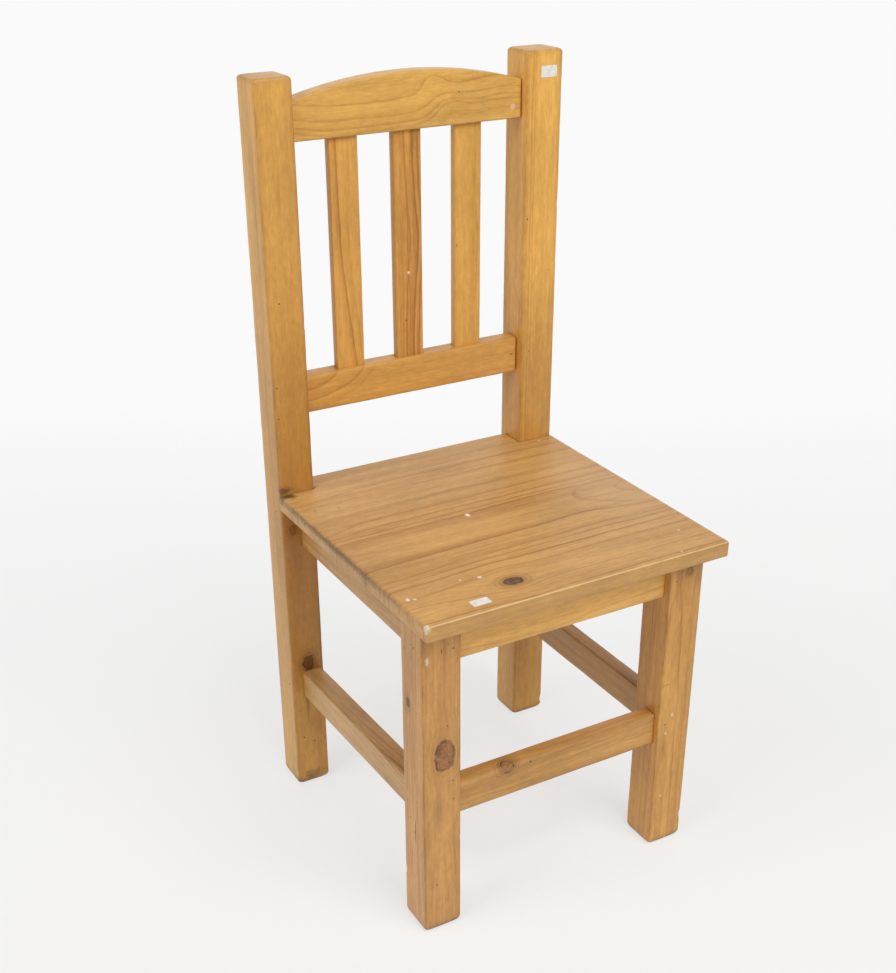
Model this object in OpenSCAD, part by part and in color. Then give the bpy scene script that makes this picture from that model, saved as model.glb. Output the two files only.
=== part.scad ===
// Worn pine side chair: square legs and posts, board seat, arched top rail, three slats.
// Millimetres. +Z is up, the front faces -Y, and the origin is under the middle of the footprint.

/* [Overall] */
// Height of the rear posts
post_h = 920.5; // [760:1:1150]
// How much taller the right post is than the left one
post_extra = 5; // [0:0.5:8]
// Width across the outer faces of the rear posts
back_w = 395; // [340:1:500]
// How far each front leg's outer face stands inside the rear post's outer face
front_narrow = 9.5; // [0:0.5:20]
// Depth from the front legs' front faces to the posts' back faces
frame_d = 389.5; // [330:0.5:500]
// Height of the top of the seat
seat_h = 436.5; // [380:1:520]

/* [Legs and posts] */
// Width of a front leg
leg_w = 48.5; // [38:0.5:60]
// Depth of a front leg
leg_d = 48.5; // [46:0.5:60]
// Width of the left rear post
post_w = 45.5; // [38:0.5:60]
// How much wider the right rear post is, on its inner side
post_right_more = 3.5; // [0:0.5:4]
// Depth of a rear post
post_d = 47.5; // [46:0.5:60]
// Radius of the long edges of legs and posts
arris_r = 2.5; // [1:0.5:8]
// Bevel round the foot of each leg and post
foot_ease = 4; // [1:0.5:8]
// Bevel round the top of each post
top_ease = 4; // [1:0.5:10]

/* [Seat] */
// Thickness of the seat board
seat_t = 20; // [16:1:30]
// How far the seat stands out in front of the front legs
seat_front_over = 29.5; // [5:0.5:40]
// How far the seat's front corners stand out past the front legs
seat_side_over = 10; // [2:0.5:30]
// How far the seat's back edge stops short of the posts' back faces
seat_back_short = 11; // [2:0.5:30]
// Radius of the seat's front corners
seat_corner_r = 3; // [2:0.5:20]
// Bevel along the seat's front top edge
seat_front_ease = 5; // [1:0.5:8]
// Bevel along the seat's other top edges
seat_side_ease = 3; // [1:0.5:8]
// Bevel along the seat's lower edges at the front and sides
seat_under_ease = 3; // [1:0.5:6]
// How far the seat's rear corners stand out past the posts
seat_back_over = 1.5; // [0.2:0.1:3]
// Gap between the seat's notches and the posts
notch_gap = 0.6; // [0.2:0.1:3]
// Size of the chip broken from the seat's front left corner
seat_chip = 7; // [2:0.5:12]

/* [Aprons] */
// Height of the aprons
apron_h = 56; // [44:1:80]
// Thickness of the aprons
apron_t = 20; // [16:1:22]
// Distance of the front apron behind the legs' front faces
front_apron_in = 9; // [4:0.5:12]
// Distance of the rear apron in front of the posts' back faces
rear_apron_in = 10.5; // [4:0.5:12]

/* [Stretchers] */
// Height of a stretcher's section
stretcher_h = 43.5; // [35:0.5:60]
// Thickness of a stretcher
stretcher_t = 20.5; // [16:0.5:22]
// Height of the front stretcher's underside
front_stretcher_z = 154; // [80:1:220]
// Height of the left stretcher, a board of another size
left_stretcher_h = 39; // [30:0.5:60]
// Thickness of the left stretcher
left_stretcher_t = 26.5; // [16:0.5:29]
// Height of the left stretcher's underside, halfway along it
left_stretcher_z = 146; // [80:0.5:220]
// How much lower the left stretcher's rear end sits than its front end
left_stretcher_drop = 12.5; // [0:0.5:16]
// Distance of the left stretcher inside the front leg's outer face
left_stretcher_in = 6; // [4:0.5:14]
// Height of the right stretcher's underside
right_stretcher_z = 152.5; // [80:0.5:220]
// Distance of the front stretcher behind the legs' front faces
front_stretcher_in = 8; // [4:0.5:12]
// Distance of the side stretchers inside the front legs' outer faces
side_stretcher_in = 8; // [4:0.5:14]

/* [Back] */
// Height of the top rail's underside
top_rail_z = 849; // [650:1:1080]
// Height of the top rail at its ends
top_rail_end_h = 43.5; // [35:0.5:70]
// Rise of the top rail's arch above its ends
crown_rise = 21; // [5:1:35]
// Height of the lower rail's underside
lower_rail_z = 531.5; // [440:0.5:640]
// Height of the lower rail's section
lower_rail_h = 46; // [35:0.5:70]
// Thickness of the back rails
back_rail_t = 24; // [18:0.5:30]
// Distance of the back rails behind the posts' front faces
back_rail_in = 11; // [5:0.5:16]
// Width of a slat
slat_w = 37; // [25:1:50]
// Thickness of a slat
slat_t = 12; // [8:0.5:16]
// Distance between slat centres
slat_pitch = 82; // [60:1:100]
// Sideways shift of the middle slat from the chair's centre
slat_shift = -4; // [-6:0.5:6]
// Depth of a slat's housing in each rail
slat_seat = 12; // [6:1:16]
// How far the back rails' right shoulders have pulled out of the right post
open_joint = 1.5; // [0.2:0.1:4]

/* [Joints and fixings] */
// Radius of the long edges of rails, slats and stretchers
rail_r = 2; // [0.5:0.5:4]
// Length of a tenon
tenon_l = 20; // [14:1:24]
// Thickness of a tenon
tenon_t = 12; // [8:0.5:14]
// Width of a tenon's shoulder above and below
tenon_shoulder = 6; // [3:0.5:12]
// Gap round a tenon in its mortise
tenon_fit = 0.1; // [0.05:0.05:0.5]
// Wood left between two mortises that meet in a leg
mortise_web = 1.5; // [1:0.5:4]
// Side of a corner block, along each apron
block_l = 70; // [60:1:90]
// Height of a corner block
block_h = 30; // [20:1:40]
// Gap between a corner block and the leg beside it
block_gap = 1; // [0.3:0.1:3]
// Radius of a screw's shank
screw_r = 2; // [1.5:0.1:3]
// Radius of a screw's head
screw_head_r = 4; // [3.5:0.1:6]
// Radius of a brad's shank
brad_r = 0.8; // [0.6:0.1:1.2]
// Length of a brad
brad_l = 32; // [25:1:34]
// Gap round a screw, brad or plug in its hole
hole_fit = 0.05; // [0.02:0.01:0.2]
// Radius of the wooden plug in the top rail
plug_r = 4; // [4:0.5:6]
// Distance of the plug and the nail from the right post
toe_in = 13; // [11:0.5:20]

/* [Stickers] */
// Width of a sticker
sticker_w = 22; // [10:1:40]
// Height of a sticker
sticker_h = 13; // [8:1:30]
// Thickness of the sticker paper
sticker_t = 0.2; // [0.1:0.05:0.5]

/* [Hidden] */
$fn = 48;
eps = 0.01;

// Planes that the pieces share
leg_front_y = -(frame_d - seat_front_over) / 2;
leg_back_y = leg_front_y + leg_d;
post_back_y = leg_front_y + frame_d;
post_front_y = post_back_y - post_d;
seat_front_y = leg_front_y - seat_front_over;
seat_back_y = post_back_y - seat_back_short;
leg_out_x = back_w / 2 - front_narrow;
leg_in_x = leg_out_x - leg_w;
post_out_x = back_w / 2;
post_in_x = post_out_x - post_w;
post_right_in_x = post_in_x - post_right_more;
seat_under_z = seat_h - seat_t;
apron_z = seat_under_z - apron_h;

// Places of the rails' sections
front_apron_y = leg_front_y + front_apron_in;
rear_apron_y = post_back_y - rear_apron_in - apron_t;
side_apron_x = min(post_in_x, leg_out_x - apron_t - 2);
side_stretcher_x = leg_out_x - side_stretcher_in - stretcher_t;
left_stretcher_x = leg_out_x - left_stretcher_in - left_stretcher_t;
left_stretcher_lean = atan(left_stretcher_drop / (post_front_y - leg_back_y));
front_stretcher_y = leg_front_y + front_stretcher_in;
back_rail_y = post_front_y + back_rail_in;
slat_y = back_rail_y + (back_rail_t - slat_t) / 2;
lower_rail_top_z = lower_rail_z + lower_rail_h;

// The crown is one arc through the rail's two ends and its highest point
crown_half = post_in_x;
crown_r = (crown_half * crown_half + crown_rise * crown_rise) / (2 * crown_rise);
crown_z = top_rail_z + top_rail_end_h + crown_rise - crown_r;

// A side rail's tenons stop short of the mortise that crosses theirs
front_web_y = max(front_apron_in + apron_t / 2, front_stretcher_in + stretcher_t / 2) + tenon_t / 2;
side_tenon_front = min(tenon_l, leg_d - front_web_y - mortise_web);
side_tenon_rear = min(tenon_l, post_d - rear_apron_in - (apron_t + tenon_t) / 2 - mortise_web);

// Screws and brads
block_screw_at = 48;
block_screw_wood = 12;
block_screw_l = 26;
block_screw_z = seat_under_z - block_h / 2;
seat_screw_at = 28;
seat_screw_l = block_h + seat_t * 0.6;
screw_head_t = 2.4;
brad_head_r = brad_r * 1.5;
brad_head_t = 0.8;
plug_depth = 5;
toe_screw_l = 34;
toe_screw_r = 1.8;
toe_nail_l = 32;
toe_z_share = 0.32;
nail_z_share = 0.53;

pine = [0.84, 0.63, 0.33];
pine_light = [0.88, 0.70, 0.40];
pine_seat = [0.76, 0.58, 0.36];
steel = [0.62, 0.62, 0.60];
paper = [0.95, 0.95, 0.94];
plug_colour = [0.93, 0.70, 0.52];

// ---- Shared shapes ----

// Rectangle a by b, centred, with corners of true arc
module eased_rect(a, b, r) {
    square([a - 2 * r, b], center = true);
    square([a, b - 2 * r], center = true);
    for (sx = [-1, 1], sy = [-1, 1])
        translate([sx * (a / 2 - r), sy * (b / 2 - r)]) circle(r);
}

module bar_x(x0, x1, y0, y1, z0, z1, r)
    translate([x0, (y0 + y1) / 2, (z0 + z1) / 2]) rotate([0, 90, 0])
        linear_extrude(x1 - x0) eased_rect(z1 - z0, y1 - y0, r);

module bar_y(x0, x1, y0, y1, z0, z1, r)
    translate([(x0 + x1) / 2, y0, (z0 + z1) / 2]) rotate([-90, 0, 0])
        linear_extrude(y1 - y0) eased_rect(x1 - x0, z1 - z0, r);

module bar_z(x0, x1, y0, y1, z0, z1, r)
    translate([(x0 + x1) / 2, (y0 + y1) / 2, z0])
        linear_extrude(z1 - z0) eased_rect(x1 - x0, y1 - y0, r);

module box(x0, x1, y0, y1, z0, z1)
    translate([x0, y0, z0]) cube([x1 - x0, y1 - y0, z1 - z0]);

// Four 45 degree cuts round the end of an upright at height z
module end_bevel(x0, x1, y0, y1, z, ease) {
    side = ease * sqrt(2);
    long = 2 * max(x1 - x0, y1 - y0);
    for (x = [x0, x1])
        translate([x, (y0 + y1) / 2, z]) rotate([0, 45, 0]) cube([side, long, side], center = true);
    for (y = [y0, y1])
        translate([(x0 + x1) / 2, y, z]) rotate([45, 0, 0]) cube([long, side, side], center = true);
}

// Mirror image across the chair's centre when side is 1; the pieces are drawn on the left
module on_side(side)
    mirror([side > 0 ? 1 : 0, 0, 0]) children();

// ---- Tenons, each grown by g to make its mortise ----

module tenon_x(x0, x1, y_mid, z0, z1, g)
    box(x0 - g, x1 + g, y_mid - tenon_t / 2 - g, y_mid + tenon_t / 2 + g,
        z0 + tenon_shoulder - g, z1 - tenon_shoulder + g);

module tenon_y(x_mid, y0, y1, z0, z1, g)
    box(x_mid - tenon_t / 2 - g, x_mid + tenon_t / 2 + g, y0 - g, y1 + g,
        z0 + tenon_shoulder - g, z1 - tenon_shoulder + g);

module cross_tenons(in_x, y_mid, z0, z1, g)
    for (s = [-1, 1])
        tenon_x(min(s * in_x, s * (in_x + tenon_l)), max(s * in_x, s * (in_x + tenon_l)),
            y_mid, z0, z1, g);

module front_apron_tenons(g)
    cross_tenons(leg_in_x, front_apron_y + apron_t / 2, apron_z, seat_under_z, g);

// Tenons of a rail between the posts, whose right shoulder stops short of the post by gap
module rear_tenons(y_mid, z0, z1, gap, g) {
    tenon_x(-post_in_x - tenon_l, -post_in_x, y_mid, z0, z1, g);
    tenon_x(post_right_in_x - gap, post_right_in_x + tenon_l, y_mid, z0, z1, g);
}

module rear_apron_tenons(g)
    rear_tenons(rear_apron_y + apron_t / 2, apron_z, seat_under_z, 0, g);

module front_stretcher_tenons(g)
    cross_tenons(leg_in_x, front_stretcher_y + stretcher_t / 2,
        front_stretcher_z, front_stretcher_z + stretcher_h, g);

module lower_rail_tenons(g)
    rear_tenons(back_rail_y + back_rail_t / 2, lower_rail_z, lower_rail_top_z, open_joint, g);

module top_rail_tenons(g)
    rear_tenons(back_rail_y + back_rail_t / 2, top_rail_z, top_rail_z + top_rail_end_h,
        open_joint, g);

// Both tenons of a side rail on the left, whose section starts at inner face x. The front one
// is half the drop higher and the rear one half the drop lower
module side_tenons(x_in, t, z0, z1, g, drop = 0) {
    tenon_y(-x_in - t / 2, leg_back_y - side_tenon_front, leg_back_y + eps,
        z0 + drop / 2, z1 + drop / 2, g);
    tenon_y(-x_in - t / 2, post_front_y - eps, post_front_y + side_tenon_rear,
        z0 - drop / 2, z1 - drop / 2, g);
}

module side_apron_tenons(g)
    side_tenons(side_apron_x, apron_t, apron_z, seat_under_z, g);

module left_stretcher_tenons(g)
    side_tenons(left_stretcher_x, left_stretcher_t, left_stretcher_z,
        left_stretcher_z + left_stretcher_h, g, left_stretcher_drop);

// Drawn on the left, like the aprons
module right_stretcher_tenons(g)
    side_tenons(side_stretcher_x, stretcher_t, right_stretcher_z,
        right_stretcher_z + stretcher_h, g);

// ---- Screws, brads, nail and plug, each grown by g to make its hole ----

// Pointing along +Z from the top of its head at the origin
module wood_screw(l, r, head_r, g) {
    cylinder(h = screw_head_t + g, r1 = head_r + g, r2 = r + g);
    translate([0, 0, g]) cylinder(h = l, r = r + g);
}

module brad(g) {
    translate([0, 0, -g]) cylinder(h = brad_head_t + 2 * g, r = brad_head_r + g);
    cylinder(h = brad_l + g, r = brad_r + g);
}

// Corner where two aprons' inner faces meet, on the left
function block_corner(rear) = rear
    ? [-side_apron_x, rear_apron_y]
    : [-side_apron_x, front_apron_y + apron_t];

module at_block(rear)
    translate([block_corner(rear)[0], block_corner(rear)[1], 0])
        mirror([0, rear ? 1 : 0, 0]) children();

module one_block_screws(rear, g)
    at_block(rear) {
        translate([block_screw_wood, block_screw_at, block_screw_z]) rotate([0, -90, 0])
            wood_screw(block_screw_l, screw_r, screw_head_r, g);
        translate([block_screw_at, block_screw_wood, block_screw_z]) rotate([90, 0, 0])
            wood_screw(block_screw_l, screw_r, screw_head_r, g);
    }

module one_seat_screw(rear, g)
    at_block(rear)
        translate([seat_screw_at, seat_screw_at, seat_under_z - block_h])
            wood_screw(seat_screw_l, screw_r, screw_head_r, g);

module all_block_screws(g)
    for (side = [-1, 1], rear = [false, true]) on_side(side) one_block_screws(rear, g);

module all_seat_screws(g)
    for (side = [-1, 1], rear = [false, true]) on_side(side) one_seat_screw(rear, g);

// A brad through each tenon of the cross rails, driven along +Y or, from behind, along -Y
module cross_brads(left_x, right_x, y_face, z_mid, dir, g)
    for (x = [-left_x - tenon_l / 2, right_x + tenon_l / 2])
        translate([x, y_face, z_mid]) rotate([-90 * dir, 0, 0]) brad(g);

// A brad through each tenon of a left side rail, driven from the outer faces
module side_brads(z_mid, g, drop = 0) {
    translate([-leg_out_x, leg_back_y - side_tenon_front / 2, z_mid + drop / 2])
        rotate([0, 90, 0]) brad(g);
    translate([-post_out_x, post_front_y + side_tenon_rear / 2, z_mid - drop / 2])
        rotate([0, 90, 0]) brad(g);
}

apron_brad_z = seat_under_z - apron_h * 0.6;
side_brad_drop = 8;

module all_apron_brads(g) {
    cross_brads(leg_in_x, leg_in_x, leg_front_y, apron_brad_z, 1, g);
    cross_brads(post_in_x, post_right_in_x, post_back_y, apron_brad_z, -1, g);
    for (side = [-1, 1]) on_side(side) side_brads(apron_brad_z - side_brad_drop, g);
}

module all_stretcher_brads(g) {
    cross_brads(leg_in_x, leg_in_x, leg_front_y,
        front_stretcher_z + stretcher_h / 2 + side_brad_drop, 1, g);
    side_brads(left_stretcher_z + left_stretcher_h / 2, g, left_stretcher_drop);
    on_side(1) side_brads(right_stretcher_z + stretcher_h / 2, g);
}

toe_x = post_right_in_x - toe_in;
plug_z = top_rail_z + top_rail_end_h * toe_z_share;
nail_z = lower_rail_z + lower_rail_h * nail_z_share;

module plug(g)
    translate([toe_x, back_rail_y - eps, plug_z]) rotate([-90, 0, 0])
        cylinder(h = plug_depth + eps, r = plug_r + g);

// Slants at 45 degrees from the rail's front into the right post
module toe_screw(g)
    translate([toe_x, back_rail_y + plug_depth + screw_head_t, plug_z]) rotate([-90, 0, -45])
        wood_screw(toe_screw_l, toe_screw_r, toe_screw_r * 1.6, g);

module toe_nail(g)
    translate([toe_x, back_rail_y + brad_head_t, nail_z]) rotate([-90, 0, -45]) {
        translate([0, 0, -g]) cylinder(h = brad_head_t + 2 * g, r = brad_head_r + g);
        cylinder(h = toe_nail_l + g, r = brad_r + g);
    }

// ---- Legs and posts, drawn on the left ----

module plain_leg()
    difference() {
        bar_z(-leg_out_x, -leg_in_x, leg_front_y, leg_back_y, 0, seat_under_z, arris_r);
        end_bevel(-leg_out_x, -leg_in_x, leg_front_y, leg_back_y, 0, foot_ease);
        front_apron_tenons(tenon_fit);
        side_apron_tenons(tenon_fit);
        front_stretcher_tenons(tenon_fit);
    }

module plain_post(x0, x1, h)
    difference() {
        bar_z(x0, x1, post_front_y, post_back_y, 0, h, arris_r);
        end_bevel(x0, x1, post_front_y, post_back_y, 0, foot_ease);
        end_bevel(x0, x1, post_front_y, post_back_y, h, top_ease);
        rear_apron_tenons(tenon_fit);
        lower_rail_tenons(tenon_fit);
        top_rail_tenons(tenon_fit);
    }

module front_left_leg()
    color(pine) difference() {
        plain_leg();
        left_stretcher_tenons(tenon_fit);
        all_apron_brads(hole_fit);
        all_stretcher_brads(hole_fit);
    }

module front_right_leg()
    color(pine) difference() {
        on_side(1) plain_leg();
        on_side(1) right_stretcher_tenons(tenon_fit);
        all_apron_brads(hole_fit);
        all_stretcher_brads(hole_fit);
    }

module rear_left_post()
    color(pine) difference() {
        plain_post(-post_out_x, -post_in_x, post_h);
        side_apron_tenons(tenon_fit);
        left_stretcher_tenons(tenon_fit);
        all_apron_brads(hole_fit);
        all_stretcher_brads(hole_fit);
    }

module rear_right_post()
    color(pine) difference() {
        plain_post(post_right_in_x, post_out_x, post_h + post_extra);
        on_side(1) side_apron_tenons(tenon_fit);
        on_side(1) right_stretcher_tenons(tenon_fit);
        all_apron_brads(hole_fit);
        all_stretcher_brads(hole_fit);
        toe_screw(hole_fit);
        toe_nail(hole_fit);
    }

// ---- Seat ----

// Points of an arc of radius r about c, from angle a0 to a1
function arc(c, r, a0, a1, steps = 8) =
    [for (i = [0:steps]) let (a = a0 + (a1 - a0) * i / steps) c + r * [cos(a), sin(a)]];

seat_front_x = leg_out_x + seat_side_over;
seat_back_x = post_out_x + seat_back_over;
chip_in = 1.5;
chip_tilt = [38, -24, 20];
seat_outline = concat(
    arc([-seat_front_x + seat_corner_r, seat_front_y + seat_corner_r], seat_corner_r, 180, 270),
    arc([seat_front_x - seat_corner_r, seat_front_y + seat_corner_r], seat_corner_r, 270, 360),
    [[seat_back_x, seat_back_y], [-seat_back_x, seat_back_y]]
);

// Cuts the edge that runs from p to q at height z with a 45 degree bevel
module edge_bevel(p, q, ease, z = seat_h) {
    d = q - p;
    side = ease * sqrt(2);
    translate([(p[0] + q[0]) / 2, (p[1] + q[1]) / 2, z]) rotate([0, 0, atan2(d[1], d[0])])
        rotate([45, 0, 0]) cube([1.2 * norm(d), side, side], center = true);
}

// A splinter lost from the front left corner, cut by a tilted block
module corner_chip()
    translate([-seat_front_x + chip_in, seat_front_y + chip_in, seat_h - seat_t * 0.35])
        rotate(chip_tilt) cube([seat_chip, seat_chip, seat_chip * 1.6], center = true);

module seat_board()
    color(pine_seat) difference() {
        translate([0, 0, seat_under_z]) linear_extrude(seat_t) polygon(seat_outline);
        box(-seat_back_x - 1, -post_in_x + notch_gap, post_front_y - notch_gap, post_back_y,
            seat_under_z - 1, seat_h + 1);
        box(post_right_in_x - notch_gap, seat_back_x + 1, post_front_y - notch_gap, post_back_y,
            seat_under_z - 1, seat_h + 1);
        edge_bevel([-seat_front_x, seat_front_y], [seat_front_x, seat_front_y], seat_front_ease);
        edge_bevel([-seat_back_x, seat_back_y], [seat_back_x, seat_back_y], seat_side_ease);
        edge_bevel([-seat_front_x, seat_front_y], [seat_front_x, seat_front_y],
            seat_under_ease, seat_under_z);
        for (s = [-1, 1]) {
            edge_bevel([s * seat_front_x, seat_front_y], [s * seat_back_x, seat_back_y],
                seat_side_ease);
            edge_bevel([s * seat_front_x, seat_front_y], [s * seat_back_x, seat_back_y],
                seat_under_ease, seat_under_z);
        }
        corner_chip();
        all_seat_screws(hole_fit);
        seat_sticker_solid(hole_fit);
    }

// ---- Aprons and stretchers ----

module front_apron()
    color(pine) difference() {
        union() {
            bar_x(-leg_in_x, leg_in_x, front_apron_y, front_apron_y + apron_t,
                apron_z, seat_under_z, rail_r);
            front_apron_tenons(0);
        }
        all_apron_brads(hole_fit);
        all_block_screws(hole_fit);
    }

module rear_apron()
    color(pine) difference() {
        union() {
            bar_x(-post_in_x, post_right_in_x, rear_apron_y, rear_apron_y + apron_t,
                apron_z, seat_under_z, rail_r);
            rear_apron_tenons(0);
        }
        all_apron_brads(hole_fit);
        all_block_screws(hole_fit);
    }

module side_apron()
    difference() {
        union() {
            bar_y(-side_apron_x - apron_t, -side_apron_x, leg_back_y, post_front_y,
                apron_z, seat_under_z, rail_r);
            side_apron_tenons(0);
        }
        one_block_screws(false, hole_fit);
        one_block_screws(true, hole_fit);
    }

module left_apron()
    color(pine) difference() {
        side_apron();
        all_apron_brads(hole_fit);
    }

module right_apron()
    color(pine) difference() {
        on_side(1) side_apron();
        all_apron_brads(hole_fit);
    }

module front_stretcher()
    color(pine) difference() {
        union() {
            bar_x(-leg_in_x, leg_in_x, front_stretcher_y, front_stretcher_y + stretcher_t,
                front_stretcher_z, front_stretcher_z + stretcher_h, rail_r);
            front_stretcher_tenons(0);
        }
        all_stretcher_brads(hole_fit);
    }

// The left stretcher slopes: its bar is turned about its middle and cut off flush at both ends
module left_stretcher_bar() {
    x0 = -left_stretcher_x - left_stretcher_t;
    x1 = -left_stretcher_x;
    z1 = left_stretcher_z + left_stretcher_h;
    mid = [0, (leg_back_y + post_front_y) / 2, left_stretcher_z + left_stretcher_h / 2];
    difference() {
        translate(mid) rotate([-left_stretcher_lean, 0, 0]) translate(-mid)
            bar_y(x0, x1, leg_back_y - 6, post_front_y + 6, left_stretcher_z, z1, rail_r);
        box(x0 - 1, x1 + 1, leg_back_y - 20, leg_back_y, left_stretcher_z - 30, z1 + 30);
        box(x0 - 1, x1 + 1, post_front_y, post_front_y + 20, left_stretcher_z - 30, z1 + 30);
    }
}

module left_stretcher()
    color(pine) difference() {
        union() {
            left_stretcher_bar();
            left_stretcher_tenons(0);
        }
        side_brads(left_stretcher_z + left_stretcher_h / 2, hole_fit, left_stretcher_drop);
    }

module right_stretcher()
    on_side(1) color(pine) difference() {
        union() {
            bar_y(-side_stretcher_x - stretcher_t, -side_stretcher_x, leg_back_y, post_front_y,
                right_stretcher_z, right_stretcher_z + stretcher_h, rail_r);
            right_stretcher_tenons(0);
        }
        side_brads(right_stretcher_z + stretcher_h / 2, hole_fit);
    }

// ---- Back ----

// A slat on the centre x, running into both rails and grown by g to make its housings
module slat_solid(x, g)
    bar_z(x - slat_w / 2 - g, x + slat_w / 2 + g, slat_y - g, slat_y + slat_t + g,
        lower_rail_top_z - slat_seat - g, top_rail_z + slat_seat + g, rail_r);

module all_slats(g)
    for (i = [-1:1]) slat_solid(slat_shift + i * slat_pitch, g);

module left_slat() color(pine_light) slat_solid(slat_shift - slat_pitch, 0);
module middle_slat() color(pine) slat_solid(slat_shift, 0);
module right_slat() color(pine_light) slat_solid(slat_shift + slat_pitch, 0);

module top_rail()
    color(pine_light) difference() {
        union() {
            translate([0, back_rail_y + back_rail_t, 0]) rotate([90, 0, 0])
                linear_extrude(back_rail_t) intersection() {
                    translate([0, crown_z]) circle(crown_r, $fn = 240);
                    translate([-post_in_x, top_rail_z])
                        square([post_in_x + post_right_in_x - open_joint,
                            top_rail_end_h + crown_rise + 1]);
                }
            top_rail_tenons(0);
        }
        all_slats(tenon_fit);
        plug(hole_fit);
        toe_screw(hole_fit);
    }

module lower_back_rail()
    color(pine_light) difference() {
        union() {
            bar_x(-post_in_x, post_right_in_x - open_joint, back_rail_y,
                back_rail_y + back_rail_t, lower_rail_z, lower_rail_top_z, rail_r);
            lower_rail_tenons(0);
        }
        all_slats(tenon_fit);
        toe_nail(hole_fit);
    }

// ---- Corner blocks and fixings ----

module corner_block(side, rear)
    color(pine_light) difference() {
        on_side(side) at_block(rear) translate([0, 0, seat_under_z - block_h])
            linear_extrude(block_h) polygon([[0, 0], [block_l, 0], [0, block_l]]);
        on_side(side) box(-leg_out_x, -leg_in_x + block_gap, leg_front_y, leg_back_y + block_gap,
            0, seat_under_z + 1);
        box(post_right_in_x - block_gap, post_out_x, post_front_y - block_gap, post_back_y,
            0, seat_under_z + 1);
        all_block_screws(hole_fit);
        on_side(side) at_block(rear) {
            translate([block_screw_wood - eps, block_screw_at, block_screw_z]) rotate([0, 90, 0])
                cylinder(h = block_l, r = screw_head_r + hole_fit);
            translate([block_screw_at, block_screw_wood - eps, block_screw_z]) rotate([-90, 0, 0])
                cylinder(h = block_l, r = screw_head_r + hole_fit);
        }
        all_seat_screws(hole_fit);
    }

module block_screws() color(steel) all_block_screws(0);
module seat_screws() color(steel) all_seat_screws(0);
module apron_brads() color(steel) all_apron_brads(0);
module stretcher_brads() color(steel) all_stretcher_brads(0);
module top_rail_plug() color(plug_colour) plug(0);

module top_rail_screw()
    color(steel) difference() {
        toe_screw(0);
        plug(hole_fit);
    }

module lower_rail_nail()
    color(steel) intersection() {
        toe_nail(0);
        box(0, back_w, back_rail_y, post_back_y, lower_rail_z, lower_rail_top_z);
    }

// ---- Stickers ----

// The stickers' places: gaps from the right post's outer edge and top, and on the seat
post_sticker_gap_x = 8;
post_sticker_drop = 24.5;
seat_sticker_in_x = 65;
seat_sticker_in_y = 13.5;
post_sticker_x = post_out_x - post_sticker_gap_x - sticker_w;
post_sticker_z = post_h + post_extra - post_sticker_drop;
seat_sticker_x = -seat_front_x + seat_sticker_in_x;
seat_sticker_y = seat_front_y + seat_sticker_in_y;

module post_sticker()
    color(paper) box(post_sticker_x, post_sticker_x + sticker_w,
        post_front_y - sticker_t, post_front_y, post_sticker_z - sticker_h / 2,
        post_sticker_z + sticker_h / 2);

// Pressed flush into the seat, and grown by g to make its shallow bed
module seat_sticker_solid(g)
    box(seat_sticker_x - g, seat_sticker_x + sticker_w + g, seat_sticker_y - g,
        seat_sticker_y + sticker_h + g, seat_h - sticker_t - g, seat_h + g);

module seat_sticker() color(paper) seat_sticker_solid(0);

front_left_leg();
front_right_leg();
rear_left_post();
rear_right_post();
seat_board();
front_apron();
rear_apron();
left_apron();
right_apron();
front_stretcher();
left_stretcher();
right_stretcher();
top_rail();
lower_back_rail();
left_slat();
middle_slat();
right_slat();
corner_block(-1, false);  // corner_block_front_left
corner_block(1, false);  // corner_block_front_right
corner_block(-1, true);  // corner_block_rear_left
corner_block(1, true);  // corner_block_rear_right
block_screws();
seat_screws();
apron_brads();
stretcher_brads();
top_rail_plug();
top_rail_screw();
lower_rail_nail();
post_sticker();
seat_sticker();
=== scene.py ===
import math

import bmesh
import bpy
from mathutils import Matrix, Vector, geometry, noise


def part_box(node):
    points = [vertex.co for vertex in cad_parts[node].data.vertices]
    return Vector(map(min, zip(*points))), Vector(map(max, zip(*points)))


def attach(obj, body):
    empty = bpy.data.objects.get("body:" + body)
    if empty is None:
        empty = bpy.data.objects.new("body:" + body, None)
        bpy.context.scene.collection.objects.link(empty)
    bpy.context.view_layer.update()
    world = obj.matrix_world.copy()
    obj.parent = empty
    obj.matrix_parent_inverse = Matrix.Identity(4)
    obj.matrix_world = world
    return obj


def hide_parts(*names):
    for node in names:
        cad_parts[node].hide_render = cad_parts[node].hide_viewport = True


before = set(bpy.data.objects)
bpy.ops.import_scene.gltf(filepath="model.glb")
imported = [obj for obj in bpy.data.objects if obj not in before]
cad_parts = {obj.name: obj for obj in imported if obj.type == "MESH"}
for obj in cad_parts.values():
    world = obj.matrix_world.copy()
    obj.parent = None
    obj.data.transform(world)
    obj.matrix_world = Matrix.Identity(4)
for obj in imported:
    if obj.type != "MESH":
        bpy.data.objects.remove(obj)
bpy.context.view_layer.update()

MM = 0.001
BODY = "root"

# ---------------------------------------------------------------- sizes taken from the frame

LEG = {n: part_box(n) for n in ("front_left_leg", "front_right_leg")}
POST = {n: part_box(n) for n in ("rear_left_post", "rear_right_post")}
SEAT_LO, SEAT_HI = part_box("seat_board")
SEAT_TOP = SEAT_HI[2]

ARRIS = 2.0 * MM          # rounding of the legs' and posts' long edges
RAIL_ARRIS = 1.9 * MM     # rounding of rails, stretchers and slats
FOOT_ROUND = (8 * MM, 4 * MM, 10 * MM)    # height, inset and extra corner radius at the tip
TOP_ROUND = (4.5 * MM, 2.6 * MM, 6 * MM)
TENON_THICK = 12 * MM
TENON_SHOULDER = 6 * MM   # how far a tenon stands in from its rail's top and underside
TENON_FIT = 0.1 * MM      # a mortise is this much larger all round than its tenon
OPEN_JOINT = 1.5 * MM     # gap at the right shoulders of the two back rails


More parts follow.
